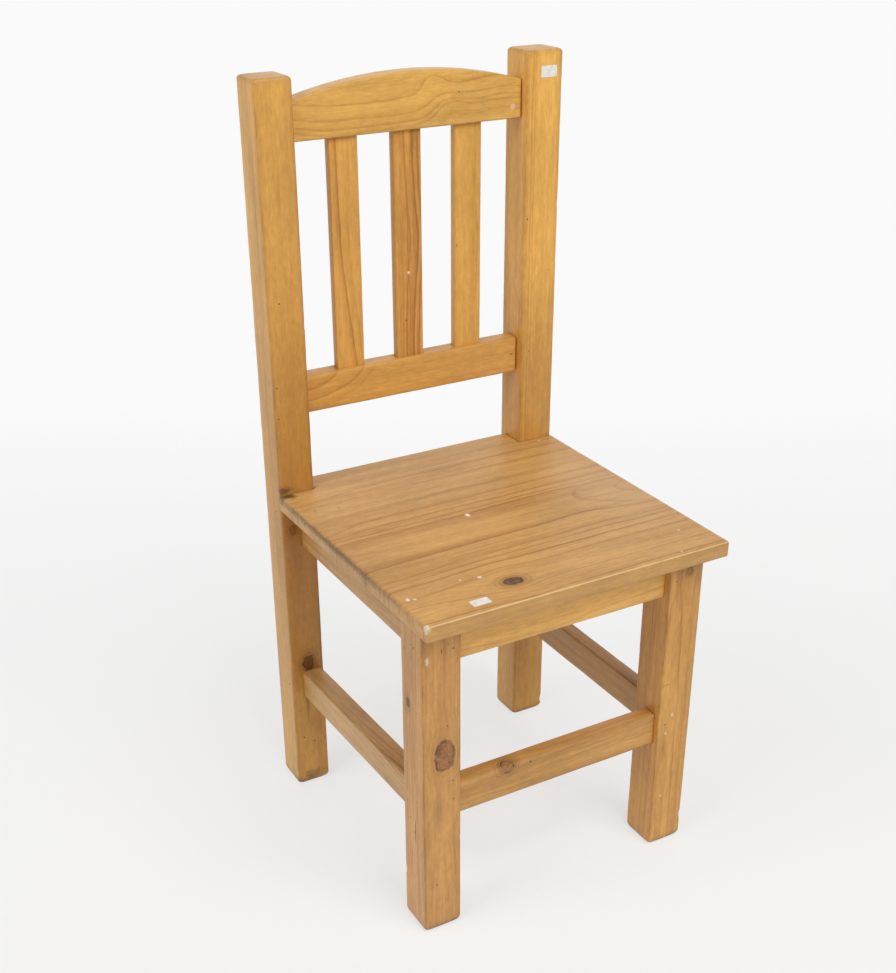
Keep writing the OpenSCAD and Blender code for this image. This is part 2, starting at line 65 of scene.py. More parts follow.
# ---------------------------------------------------------------- noise and small helpers

def rough(p, size, seed=0.0):
    """Smooth noise from -1 to 1 that changes over about `size` metres"""
    return noise.noise(Vector(p) / size + Vector((seed * 7.3, seed * 3.1, -seed * 5.7)))


def make_mesh_object(name, bm):
    """A new object from a finished mesh, its faces all turned outwards"""
    bmesh.ops.remove_doubles(bm, verts=bm.verts, dist=1e-7)
    bmesh.ops.recalc_face_normals(bm, faces=bm.faces)
    mesh = bpy.data.meshes.new(name)
    bm.to_mesh(mesh)
    bm.free()
    obj = bpy.data.objects.new(name, mesh)
    bpy.context.collection.objects.link(obj)
    return obj


def shade(obj, angle=38):
    """Smooth shading that stays sharp where faces meet at more than an angle in degrees"""
    obj.data.shade_smooth()
    obj.data.set_sharp_from_angle(angle=math.radians(angle))


def keep_result(obj, modifier):
    """Turns what a modifier makes into the object's own mesh"""
    depsgraph = bpy.context.evaluated_depsgraph_get()
    done = bpy.data.meshes.new_from_object(obj.evaluated_get(depsgraph))
    obj.modifiers.remove(modifier)
    obj.data = done


def boxes_mesh(name, boxes):
    """One mesh of axis-aligned boxes, each given as its low and high corners"""
    bm = bmesh.new()
    for lo, hi in boxes:
        made = bmesh.ops.create_cube(bm, size=1.0)
        size = [h - l for l, h in zip(lo, hi)]
        mid = [(h + l) / 2 for l, h in zip(lo, hi)]
        for v in made["verts"]:
            v.co = Vector([m + c * s for m, c, s in zip(mid, v.co, size)])
    return make_mesh_object(name, bm)


def join_rings(bm, rings):
    """Faces from each closed ring of points to the next"""
    for ring, following in zip(rings, rings[1:]):
        for k in range(len(ring)):
            n = (k + 1) % len(ring)
            bm.faces.new((ring[k], ring[n], following[n], following[k]))


def cut_boxes(obj, boxes):
    """Cuts mortises or housings out of a member"""
    cutter = boxes_mesh("cutter", boxes)
    cut = obj.modifiers.new("mortises", "BOOLEAN")
    cut.operation = "DIFFERENCE"
    cut.solver = "EXACT"
    cut.object = cutter
    keep_result(obj, cut)
    bpy.data.objects.remove(cutter)


# ---------------------------------------------------------------- eased bars

AXES = {"x": (0, 1, 2), "y": (1, 0, 2), "z": (2, 0, 1)}


def eased_section(half_a, half_b, radius, side_steps, corner_steps):
    """Outline of a bar's section: place, outward normal and how near each point is to an arris"""
    radius = min(radius, half_a * 0.98, half_b * 0.98)
    corners = [(1, 1), (-1, 1), (-1, -1), (1, -1)]
    points = []
    for index, (sa, sb) in enumerate(corners):
        start = index * 90
        for k in range(corner_steps + 1):
            turn = math.radians(start + 90 * k / corner_steps)
            normal = (math.cos(turn), math.sin(turn))
            centre = (sa * (half_a - radius), sb * (half_b - radius))
            weight = math.sin(math.radians(180 * k / corner_steps))
            points.append(((centre[0] + radius * normal[0], centre[1] + radius * normal[1]),
                           normal, 0.35 + 0.65 * weight))
        na, nb = corners[(index + 1) % 4]
        steps = side_steps[index % 2]
        end = math.radians(start + 90)
        normal = (math.cos(end), math.sin(end))
        p0 = (sa * (half_a - radius) + radius * normal[0], sb * (half_b - radius) + radius * normal[1])
        p1 = (na * (half_a - radius) + radius * normal[0], nb * (half_b - radius) + radius * normal[1])
        for k in range(1, steps):
            t = k / steps
            points.append(((p0[0] + (p1[0] - p0[0]) * t, p0[1] + (p1[1] - p0[1]) * t), normal, 0.0))
    return points


def end_rings(style, station, inward, size, tenon):
    """Rings that finish one end, from its tip inwards: (station, inset a, inset b, edge, swell)

    swell is added to the section's corner radius, so a rounded end loses its corners most.
    """
    if style == "round":
        height, depth, swell = size
        rings = []
        for degrees in (0, 15, 30, 45, 60, 75, 90):
            turn = math.radians(degrees)
            inset = depth * (1 - math.sin(turn))
            rings.append((station + inward * height * (1 - math.cos(turn)), inset, inset,
                          0.3 + 0.6 * math.sin(2 * turn), swell * (1 - math.sin(turn))))
        return rings
    if style == "tenon":
        inset_a, inset_b, length = tenon
        return [(station - inward * length, inset_a, inset_b, 0.0, 0.0),
                (station + inward * 0.2 * MM, inset_a, inset_b, 0.0, 0.0),
                (station, size, size, 0.6, 0.0), (station + inward * size, 0.0, 0.0, 0.4, 0.0)]
    return [(station, size, size, 0.6, 0.0), (station + inward * size, 0.0, 0.0, 0.3, 0.0)]


def worn_depth(place, edge, wear, dents, seed):
    """How far a point has worn in: most where edge is near 1, with soft dents and slow waves"""
    worn = 0.5 + 0.5 * rough(place, 38 * MM, seed) + 0.3 * rough(place, 9 * MM, seed + 2)
    depth = wear * edge * max(0.0, worn)
    depth += 0.10 * MM * (1 + rough(place, 70 * MM, seed + 5))
    for centre, reach, deep in dents:
        gap = (place - Vector(centre)).length / reach
        if gap < 1:
            ragged = 0.8 + 0.4 * rough(place, reach * 0.7, seed)
            depth += deep * (1 - gap * gap) ** 2 * ragged
    return depth


def eased_bar(name, axis, lo, hi, radius, ends, wear=0.35 * MM, dents=(), seed=1.0, profile=None,
              step=5 * MM, face_step=4 * MM, corner_steps=5):
    """A bar along an axis with rounded, unevenly worn edges.

    ends are (style, size, tenon) for the low and the high end. profile(s) gives the section's
    low and high limits across where they change along the bar. A dent is (place, radius, depth).
    """
    s_ax, a_ax, b_ax = AXES[axis]
    s0, s1 = lo[s_ax], hi[s_ax]
    if profile is None:
        def profile(s):
            return lo[a_ax], hi[a_ax], lo[b_ax], hi[b_ax]
    low = end_rings(ends[0][0], s0, 1, ends[0][1], ends[0][2])
    high = end_rings(ends[1][0], s1, -1, ends[1][1], ends[1][2])
    inner0, inner1 = low[-1][0], high[-1][0]
    count = max(2, round((inner1 - inner0) / step))
    rings = low + [(inner0 + (inner1 - inner0) * k / count, 0.0, 0.0, 0.0, 0.0)
                   for k in range(1, count)]
    rings += high[::-1]
    a0, a1, b0, b1 = profile((s0 + s1) / 2)
    side_steps = (max(2, round((a1 - a0) / face_step)), max(2, round((b1 - b0) / face_step)))
    bm = bmesh.new()
    edge_layer = bm.verts.layers.float.new("edge_wear")
    loops = []
    for s, inset_a, inset_b, edge, swell in rings:
        a0, a1, b0, b1 = profile(min(max(s, s0), s1))
        section = eased_section((a1 - a0) / 2 - inset_a, (b1 - b0) / 2 - inset_b, radius + swell,
                                side_steps, corner_steps)
        in_tenon = s < s0 - 1e-6 or s > s1 + 1e-6 or inset_a > 5 * MM or inset_b > 5 * MM
        loop = []
        for (a, b), normal, arris in section:
            co = [0.0, 0.0, 0.0]
            co[s_ax] = s
            co[a_ax] = (a0 + a1) / 2 + a
            co[b_ax] = (b0 + b1) / 2 + b
            out = [0.0, 0.0, 0.0]
            out[a_ax], out[b_ax] = normal
            co, out = Vector(co), Vector(out)
            if not in_tenon:
                co -= out * worn_depth(co, max(arris, edge), wear, dents, seed)
            vert = bm.verts.new(co)
            vert[edge_layer] = max(arris, edge)
            loop.append(vert)
        loops.append(loop)
    join_rings(bm, loops)
    bm.faces.new(loops[0][::-1])
    bm.faces.new(loops[-1])
    return make_mesh_object(name, bm)


# ---------------------------------------------------------------- colours, all linear

RED_HEART = (0.330, 0.135, 0.045, 1)       # knots
RED_RIM = (0.105, 0.038, 0.015, 1)
BLACK_HEART = (0.085, 0.040, 0.022, 1)
BLACK_RIM = (0.040, 0.019, 0.011, 1)
TAN_HEART = (0.400, 0.190, 0.065, 1)
KNOT_GLOW = (0.26, 0.115, 0.035, 1)        # warm wood round a knot
DIRT_AND_SHADE = (0.085, 0.050, 0.028, 1)           # dirt and damage, and painted shade where the seat meets the posts and aprons
DARK_SPOT = (0.060, 0.026, 0.012, 1)
BRUISE = (0.200, 0.095, 0.035, 1)
BARE = (0.92, 0.83, 0.68, 1)
PIT = (0.10, 0.045, 0.018, 1)
LODGED_DIRT = (0.15, 0.070, 0.026, 1)
RUBBED_EDGE = (0.74, 0.50, 0.24, 1)
SCUFF = (0.78, 0.57, 0.30, 1)
SCRATCH = (0.80, 0.60, 0.34, 1)
AMBER = (0.300, 0.115, 0.026, 1)           # deeper amber varnish; on the rear posts it is painted shade towards and below the seat
# red-amber, used as painted shade below the seat on the rear left post
RED_AMBER = (0.27, 0.09, 0.034, 1)
GOLD_RUB_AND_HIGHLIGHT = (0.870, 0.660, 0.340, 1)            # the seat's front edge: rubbed wear with a painted highlight
# painted reflection on the seat's right side
PAINTED_SHEEN = (0.66, 0.46, 0.28, 1)
SHADE_BROWN = (0.30, 0.165, 0.08, 1)
PLUG_FACE = (0.78, 0.47, 0.27, 1)
PLUG_PALE = (0.80, 0.47, 0.30, 1)
PLUG_DARK = (0.62, 0.32, 0.18, 1)
PLUG_PORE = (0.35, 0.16, 0.08, 1)
OLD_GLUE = (0.16, 0.07, 0.03, 1)
PAPER = (0.83, 0.82, 0.79, 1)
YELLOWED = (0.70, 0.66, 0.58, 1)
PAPER_FIBRE = (0.58, 0.55, 0.50, 1)
RUST = (0.13, 0.065, 0.03, 1)
STEEL = (0.42, 0.41, 0.39, 1)
VARNISHED_STEEL = (0.36, 0.19, 0.07, 1)
DARK_STEEL = (0.20, 0.13, 0.09, 1)


# ---------------------------------------------------------------- shader building

class Net:
    """Short calls for a node tree; an input may be a number, a tuple or another node's socket"""

    def __init__(self, tree):
        self.tree = tree

    def node(self, kind, inputs=(), **settings):
        made = self.tree.nodes.new(kind)
        for key, value in settings.items():
            setattr(made, key, value)
        for key, value in dict(inputs).items():
            self.feed(made.inputs[key], value)
        return made

    def feed(self, socket, value):
        if isinstance(value, bpy.types.NodeSocket):
            self.tree.links.new(value, socket)
        else:
            socket.default_value = value

    def math(self, op, a, b=0.0, c=0.0, clamp=False):
        made = self.node("ShaderNodeMath", {0: a, 1: b, 2: c}, operation=op, use_clamp=clamp)
        return made.outputs[0]

    def times(self, a, b, clamp=False):
        return self.math("MULTIPLY", a, b, clamp=clamp)

    def plus(self, a, b, clamp=False):
        return self.math("ADD", a, b, clamp=clamp)

    def minus(self, a, b):
        return self.math("SUBTRACT", a, b)

    def times_plus(self, a, b, c, clamp=False):
        return self.math("MULTIPLY_ADD", a, b, c, clamp)

    def vec(self, op, a, b=(0, 0, 0), scale=None):
        made = self.node("ShaderNodeVectorMath", {0: a, 1: b}, operation=op)
        if scale is not None:
            self.feed(made.inputs["Scale"], scale)
        return made.outputs["Value" if op in ("LENGTH", "DOT_PRODUCT", "DISTANCE") else "Vector"]

    def ramp(self, value, low, high, out_low=0.0, out_high=1.0, smooth=True):
        made = self.node("ShaderNodeMapRange", {"Value": value, "From Min": low, "From Max": high,
                                                "To Min": out_low, "To Max": out_high},
                         interpolation_type="SMOOTHSTEP" if smooth else "LINEAR")
        return made.outputs["Result"]

    def noise(self, vector, scale=1.0, detail=2.0, rough_=0.5, dims="3D", **extra):
        inputs = {"Scale": scale, "Detail": detail, "Roughness": rough_}
        inputs["W" if dims == "1D" else "Vector"] = vector
        inputs.update(extra)
        return self.node("ShaderNodeTexNoise", inputs, noise_dimensions=dims).outputs["Fac"]

    def mix(self, factor, a, b, mode="MIX"):
        made = self.node("ShaderNodeMix", {0: factor, 6: a, 7: b}, data_type="RGBA", blend_type=mode)
        return made.outputs[2]

    def split(self, vector):
        return self.node("ShaderNodeSeparateXYZ", {0: vector}).outputs

    def join(self, x, y, z):
        return self.node("ShaderNodeCombineXYZ", {0: x, 1: y, 2: z}).outputs[0]


def new_group(name, inputs, outputs):
    """A shader node group with named sockets; returns its tree, net, inputs and output node"""
    tree = bpy.data.node_groups.new(name, "ShaderNodeTree")
    kinds = {"f": "NodeSocketFloat", "v": "NodeSocketVector", "c": "NodeSocketColor"}
    for label, kind, value in inputs:
        made = tree.interface.new_socket(label, in_out="INPUT", socket_type=kinds[kind])
        made.default_value = value
    for label, kind in outputs:
        tree.interface.new_socket(label, in_out="OUTPUT", socket_type=kinds[kind])
    net = Net(tree)
    return tree, net, net.node("NodeGroupInput").outputs, net.node("NodeGroupOutput").inputs


def new_material(name, turn=(0, 0, 0)):
    """An empty material: itself, its net, its shader and the place on the piece in millimetres"""
    material = bpy.data.materials.new(name)
    material.use_nodes = True
    net = Net(material.node_tree)
    place = net.node("ShaderNodeTexCoord").outputs["Object"]
    mapping = net.node("ShaderNodeMapping", {"Vector": place, "Rotation": turn,
                                             "Scale": (1 / MM, 1 / MM, 1 / MM)})
    return material, net, material.node_tree.nodes["Principled BSDF"], mapping.outputs["Vector"]


def add_bump(net, shader, height, strength, distance):
    """Fine relief; distance is in millimetres"""
    bump = net.node("ShaderNodeBump", {"Strength": strength, "Distance": distance * MM,
                                       "Height": height})
    net.feed(shader.inputs["Normal"], bump.outputs["Normal"])


def use_group(net, tree, inputs):
    """Places a group in a tree and returns its outputs"""
    made = net.node("ShaderNodeGroup", node_tree=tree)
    for key, value in inputs.items():
        net.feed(made.inputs[key], value)
    return made.outputs


def build_growth_rings():
    """Pine's rings: soft pale early wood that darkens, then a crisp late line.

    The vector is in millimetres with Z along the grain.
    """
    tree, net, given, out = new_group("growth_rings", [
        ("Vector", "v", (0, 0, 0)), ("Pith X", "f", 0.0), ("Pith Y", "f", -60.0),
        ("Ring", "f", 7.0), ("Wander", "f", 5.0), ("Seed", "f", 0.0)],
        [("Late", "f"), ("Band", "f")])
    shift = net.vec("SCALE", (3.71, 1.73, 7.19), scale=given["Seed"])
    v = net.vec("ADD", given["Vector"], net.vec("SCALE", shift, scale=100.0))
    slow = net.noise(net.vec("MULTIPLY", v, (1 / 90, 1 / 90, 1 / 300)), detail=1.0)
    quick = net.noise(net.vec("MULTIPLY", v, (1 / 22, 1 / 22, 1 / 75)), detail=2.0)
    x, y, _ = net.split(given["Vector"])
    dx = net.minus(x, given["Pith X"])
    dy = net.minus(y, given["Pith Y"])
    away = net.math("SQRT", net.times_plus(dx, dx, net.times(dy, dy)))
    warp = net.times_plus(net.minus(slow, 0.5), 2.6, net.times(net.minus(quick, 0.5), 0.5))
    away = net.times_plus(warp, given["Wander"], away)
    rings = net.math("DIVIDE", away, given["Ring"])
    uneven = net.noise(net.plus(rings, given["Seed"]), scale=0.43, detail=1.0, dims="1D")
    rings = net.times_plus(uneven, 3.0, rings)
    phase = net.math("FRACT", rings)
    strength = net.node("ShaderNodeTexWhiteNoise", {"W": net.math("FLOOR", rings)},
                        noise_dimensions="1D").outputs["Value"]
    strength = net.times_plus(net.math("POWER", strength, 2.0), 0.8, 0.2)
    coming = net.noise(net.vec("MULTIPLY", v, (1 / 40, 1 / 40, 1 / 160)), detail=2.0)
    strength = net.times(strength, net.ramp(coming, 0.35, 0.62, 0.25, 1.0))
    falling = net.ramp(phase, 0.90, 1.0, 1.0, 0.0)
    line = net.times(net.ramp(phase, 0.66, 0.90), falling)
    band = net.times(net.math("POWER", phase, 1.6), falling)
    net.feed(out["Late"], net.times(line, strength))
    net.feed(out["Band"], net.times(band, strength))
    return tree


def build_fibre():
    """Fine streaks along the grain, short dark resin ducts, and slow patches of tone"""
    tree, net, given, out = new_group("wood_fibre", [("Vector", "v", (0, 0, 0)), ("Seed", "f", 0.0)],
                                      [("Streak", "f"), ("Broad", "f"), ("Duct", "f"), ("Patch", "f"),
                                       ("Fine", "f")])
    shift = net.vec("SCALE", (311.0, 127.0, 719.0), scale=given["Seed"])
    v = net.vec("ADD", given["Vector"], shift)
    wave = net.minus(net.noise(v, scale=1 / 45, detail=1.0), 0.5)
    v2 = net.vec("ADD", v, net.join(net.times(wave, 5.0), 0.0, 0.0))
    streak = net.noise(net.vec("MULTIPLY", v2, (0.42, 0.42, 0.009)), detail=4.0, rough_=0.62)
    broad = net.noise(net.vec("MULTIPLY", v2, (0.085, 0.085, 0.0035)), detail=2.0, rough_=0.55)
    fine = net.noise(net.vec("MULTIPLY", v2, (1.6, 1.6, 0.05)), detail=3.0, rough_=0.6)
    duct = net.noise(net.vec("MULTIPLY", v2, (1.7, 1.7, 0.09)), detail=1.0)
    net.feed(out["Streak"], streak)
    net.feed(out["Broad"], broad)
    net.feed(out["Duct"], net.ramp(duct, 0.70, 0.78))
    net.feed(out["Patch"], net.noise(net.vec("MULTIPLY", v, (1 / 55, 1 / 55, 1 / 130)), detail=2.0))
    net.feed(out["Fine"], fine)
    return tree


def build_knot_flow():
    """Pushes the grain aside round a knot: the rings part and close again along Z"""
    tree, net, given, out = new_group("knot_flow", [
        ("Vector", "v", (0, 0, 0)), ("Centre", "v", (0, 0, 0)), ("Across", "f", 25.0),
        ("Along", "f", 45.0), ("Push", "f", 0.7)], [("Vector", "v")])
    d = net.vec("SUBTRACT", given["Vector"], given["Centre"])
    x, y, z = net.split(d)
    reach = net.join(given["Across"], given["Across"], given["Along"])
    near = net.vec("DIVIDE", d, reach)
    near = net.vec("DOT_PRODUCT", near, near)
    fade = net.math("EXPONENT", net.times(near, -1.0))
    keep = net.minus(1.0, net.times(fade, given["Push"]))
    moved = net.join(net.times(x, keep), net.times(y, keep), z)
    net.feed(out["Vector"], net.vec("ADD", moved, given["Centre"]))
    return tree


def build_knot():
    """A knot's face: ragged rim, mottled heart, and rings of warmer wood round it"""
    tree, net, given, out = new_group("knot", [
        ("Vector", "v", (0, 0, 0)), ("Centre", "v", (0, 0, 0)), ("Radii", "v", (6, 50, 9)),
        ("Ragged", "f", 0.25), ("Corners", "f", 0.0), ("Colour", "c", (0.4, 0.25, 0.1, 1)),
        ("Heart", "c", (0.1, 0.05, 0.02, 1)), ("Rim", "c", (0.06, 0.03, 0.015, 1)), ("Halo", "f", 0.5)],
        [("Colour", "c"), ("Core", "f"), ("Away", "f")])
    d = net.vec("SUBTRACT", given["Vector"], given["Centre"])
    scaled = net.vec("DIVIDE", d, given["Radii"])
    away = net.vec("LENGTH", scaled)
    x, y, z = net.split(net.vec("ABSOLUTE", scaled))
    square = net.times(net.math("MAXIMUM", x, net.math("MAXIMUM", y, z)), 1.12)
    away = net.plus(away, net.times(net.minus(square, away), given["Corners"]))
    wobble = net.minus(net.noise(given["Vector"], scale=0.16, detail=4.0, rough_=0.6), 0.5)
    away = net.times_plus(net.times(wobble, 1.6), given["Ragged"], away)
    core = net.ramp(away, 0.88, 1.04, 1.0, 0.0)
    rim = net.times(net.ramp(away, 0.74, 0.97), net.ramp(away, 0.99, 1.14, 1.0, 0.0))
    halo = net.times(net.ramp(away, 0.95, 2.6, 1.0, 0.0), given["Halo"])
    ring = net.times_plus(net.math("SINE", net.times(away, 11.0)), 0.5, 0.5)
    mottle = net.noise(given["Vector"], scale=0.32, detail=5.0, rough_=0.7)
    heart = net.mix(net.ramp(mottle, 0.46, 0.76), given["Heart"], given["Rim"])
    warm = net.times(halo, net.times_plus(net.math("POWER", ring, 2.5), 0.62, 0.30))
    colour = net.mix(warm, given["Colour"], KNOT_GLOW)
    solid = net.times(core, net.ramp(mottle, 0.30, 0.62, 0.62, 0.95))
    colour = net.mix(solid, colour, heart)
    broken = net.noise(given["Vector"], scale=0.11, detail=3.0)
    rim = net.times(rim, net.ramp(broken, 0.38, 0.60, 0.30, 0.95))
    colour = net.mix(rim, colour, given["Rim"])
    net.feed(out["Colour"], colour)
    net.feed(out["Core"], core)
    net.feed(out["Away"], away)
    return tree


def build_bend():
    """How far a swelling shifts the late lines that pass near it, in the board's own two directions"""
    tree, net, given, out = new_group("grain_bend", [
        ("Along", "f", 0.0), ("Across", "f", 0.0), ("At Along", "f", 0.0), ("At Across", "f", 0.0),
        ("Reach Along", "f", 40.0), ("Reach Across", "f", 20.0), ("Amount", "f", 5.0)], [("Shift", "f")])
    a = net.math("DIVIDE", net.minus(given["Along"], given["At Along"]), given["Reach Along"])
    b = net.math("DIVIDE", net.minus(given["Across"], given["At Across"]), given["Reach Across"])
    near = net.times_plus(a, a, net.times(b, b))
    fade = net.math("EXPONENT", net.times(near, -1.0))
    net.feed(out["Shift"], net.times(fade, net.times(given["Amount"], -1.0)))
    return tree


def build_late_line():
    """One late line: brown builds up over Lead and stops at the line. Gap is negative before it"""
    tree, net, given, out = new_group("late_line", [
        ("Gap", "f", 0.0), ("Strength", "f", 0.6), ("Lead", "f", 8.0), ("Late", "f", 0.0),
        ("Band", "f", 0.0)], [("Late", "f"), ("Band", "f")])
    end = net.ramp(given["Gap"], 0.0, 1.3, 1.0, 0.0)
    start = net.node("ShaderNodeMapRange", {"Value": given["Gap"], "To Min": 0.0, "To Max": 1.0,
                                            "From Min": net.times(given["Lead"], -1.0),
                                            "From Max": -0.2}, interpolation_type="SMOOTHSTEP")
    crisp = net.times(net.ramp(given["Gap"], -2.4, -0.4), end)
    broad = net.times(start.outputs["Result"], end)
    net.feed(out["Late"], net.math("MAXIMUM", given["Late"], net.times(crisp, given["Strength"])))
    net.feed(out["Band"], net.math("MAXIMUM", given["Band"], net.times(broad, given["Strength"])))
    return tree


def build_mark():
    """A soft-edged, ragged patch for grime, bruises, chips and specks, and for painted shade, highlights
    and reflections
    """
    tree, net, given, out = new_group("mark", [
        ("Vector", "v", (0, 0, 0)), ("Colour", "c", (0.5, 0.5, 0.5, 1)), ("Centre", "v", (0, 0, 0)),
        ("Radii", "v", (5, 5, 5)), ("Paint", "c", (0.1, 0.05, 0.02, 1)), ("Strength", "f", 1.0),
        ("Soft", "f", 0.5), ("Ragged", "f", 0.5), ("Grit", "f", 0.3)],
        [("Colour", "c"), ("Mask", "f")])
    d = net.vec("SUBTRACT", given["Vector"], given["Centre"])
    away = net.vec("LENGTH", net.vec("DIVIDE", d, given["Radii"]))
    wobble = net.minus(net.noise(given["Vector"], scale=given["Grit"], detail=3.0, rough_=0.65), 0.5)
    away = net.times_plus(net.times(wobble, 2.0), given["Ragged"], away)
    inner = net.minus(1.0, given["Soft"])
    mask = net.minus(1.0, net.ramp(away, inner, 1.02))
    mask = net.times(mask, given["Strength"], clamp=True)
    net.feed(out["Colour"], net.mix(mask, given["Colour"], given["Paint"]))
    net.feed(out["Mask"], mask)
    return tree


def build_handling():
    """Years of use: scuffs, small pits, faint scratches and edges rubbed pale or grimy"""
    tree, net, given, out = new_group("handling_wear", [
        ("Vector", "v", (0, 0, 0)), ("Colour", "c", (0.5, 0.5, 0.5, 1)), ("Edge", "f", 0.0),
        ("Amount", "f", 0.5), ("Dirt", "f", 0.3), ("Seed", "f", 0.0)],
        [("Colour", "c"), ("Rough", "f"), ("Pits", "f")])
    v = net.vec("ADD", given["Vector"], net.vec("SCALE", (91.0, 57.0, 33.0), scale=given["Seed"]))
    wide = net.noise(v, scale=1 / 38, detail=4.0, rough_=0.65)
    small = net.noise(v, scale=1 / 5.5, detail=4.0, rough_=0.7)
    pits = net.node("ShaderNodeTexVoronoi", {"Vector": v, "Scale": 1 / 16, "Randomness": 1.0},
                    feature="F1")
    spread = net.node("ShaderNodeSeparateColor", {0: pits.outputs["Color"]}).outputs
    size = net.times(net.math("POWER", spread[0], 5.0), 0.085)
    pit = net.times(net.ramp(net.minus(pits.outputs["Distance"], size), -0.01, 0.015, 1.0, 0.0),
                    net.ramp(spread[1], 0.35, 0.4))
    scratch_at = net.vec("MULTIPLY", v, (0.30, 0.05, 0.05))
    scratch = net.noise(scratch_at, scale=1.2, detail=5.0, rough_=0.75)
    scratch = net.times(net.ramp(scratch, 0.635, 0.66), net.ramp(wide, 0.5, 0.62))
    pale = net.times(net.times(given["Edge"], net.ramp(small, 0.42, 0.62)),
                     net.times(net.ramp(wide, 0.42, 0.66), given["Amount"]))
    lodged = net.times(net.ramp(wide, 0.62, 0.36), net.ramp(small, 0.70, 0.40, 0.35, 1.0))
    lodged = net.times_plus(lodged, 0.6, 0.4)
    grime = net.times(net.times(given["Edge"], lodged), given["Dirt"])
    scuff = net.times(net.times(net.ramp(small, 0.60, 0.72), net.ramp(wide, 0.50, 0.64)),
                      given["Amount"])
    colour = net.mix(net.times(pale, 0.30), given["Colour"], RUBBED_EDGE)
    colour = net.mix(net.times(scuff, 0.16), colour, SCUFF)
    colour = net.mix(net.times(scratch, net.times(given["Amount"], 0.4)), colour, SCRATCH)
    colour = net.mix(net.times(grime, 0.8), colour, LODGED_DIRT)
    colour = net.mix(net.times(pit, 0.75), colour, PIT)
    net.feed(out["Colour"], colour)
    net.feed(out["Rough"], net.times_plus(scuff, 0.35, net.times(pale, 0.35)))
    net.feed(out["Pits"], net.plus(pit, net.times(scratch, 0.4)))
    return tree


RINGS = build_growth_rings()
FIBRE = build_fibre()
FLOW = build_knot_flow()
KNOT = build_knot()
BEND = build_bend()
LATE_LINE = build_late_line()
MARK = build_mark()
HANDLING = build_handling()

# Turns that bring the grain's direction onto the groups' Z
GRAIN_TURN = {"z": (0, 0, 0), "x": (0, -math.pi / 2, 0), "y": (math.pi / 2, 0, 0)}


def grain_point(axis, place):
    """A place in metres, as the groups see it: millimetres with Z along the grain"""
    turn = Matrix.Identity(3)
    if axis == "x":
        turn = Matrix.Rotation(-math.pi / 2, 3, "Y")
    if axis == "y":
        turn = Matrix.Rotation(math.pi / 2, 3, "X")
    return turn @ (Vector(place) * 1000)


def grain_radii(axis, radii):
    """Radii on the world's axes, in the order the groups need"""
    rx, ry, rz = radii
    return {"z": (rx, ry, rz), "x": (rz, ry, rx), "y": (rx, rz, ry)}[axis]



def draw_knots(net, v, axis, knots, colour):
    """Paints the knots over a colour, and returns it with a mask of their cores"""
    core = 0.0
    for at, radii, ragged, corners, halo, heart, rim in knots:
        knot = use_group(net, KNOT, {"Vector": v, "Centre": grain_point(axis, at),
                                     "Radii": grain_radii(axis, radii), "Ragged": ragged,
                                     "Corners": corners, "Colour": colour, "Heart": heart,
                                     "Rim": rim, "Halo": halo})
        colour = knot["Colour"]
        core = net.math("MAXIMUM", core, knot["Core"])
    return colour, core


GRIT = 1.6              # millimetres; the ragged rim's grain on the smallest marks
GRIT_WIDEST = 14.0      # marks thicker than this have the same grain in their rims
SUNK_BELOW = 8          # marks with a radius under this are sunk into the surface


def draw_marks(net, v, axis, marks, colour):
    """Paints the marks over a colour, and returns it with a mask of the sunk ones"""
    spots = 0.0
    for at, radii, paint, strength, soft, ragged in marks:
        small = min(radii)
        mark = use_group(net, MARK, {"Vector": v, "Colour": colour, "Centre": grain_point(axis, at),
                                     "Radii": grain_radii(axis, radii), "Paint": paint,
                                     "Strength": strength, "Soft": soft, "Ragged": ragged,
                                     "Grit": GRIT / min(max(GRIT, small), GRIT_WIDEST)})
        colour = mark["Colour"]
        if small < SUNK_BELOW:
            spots = net.math("MAXIMUM", spots, mark["Mask"])
    return colour, spots


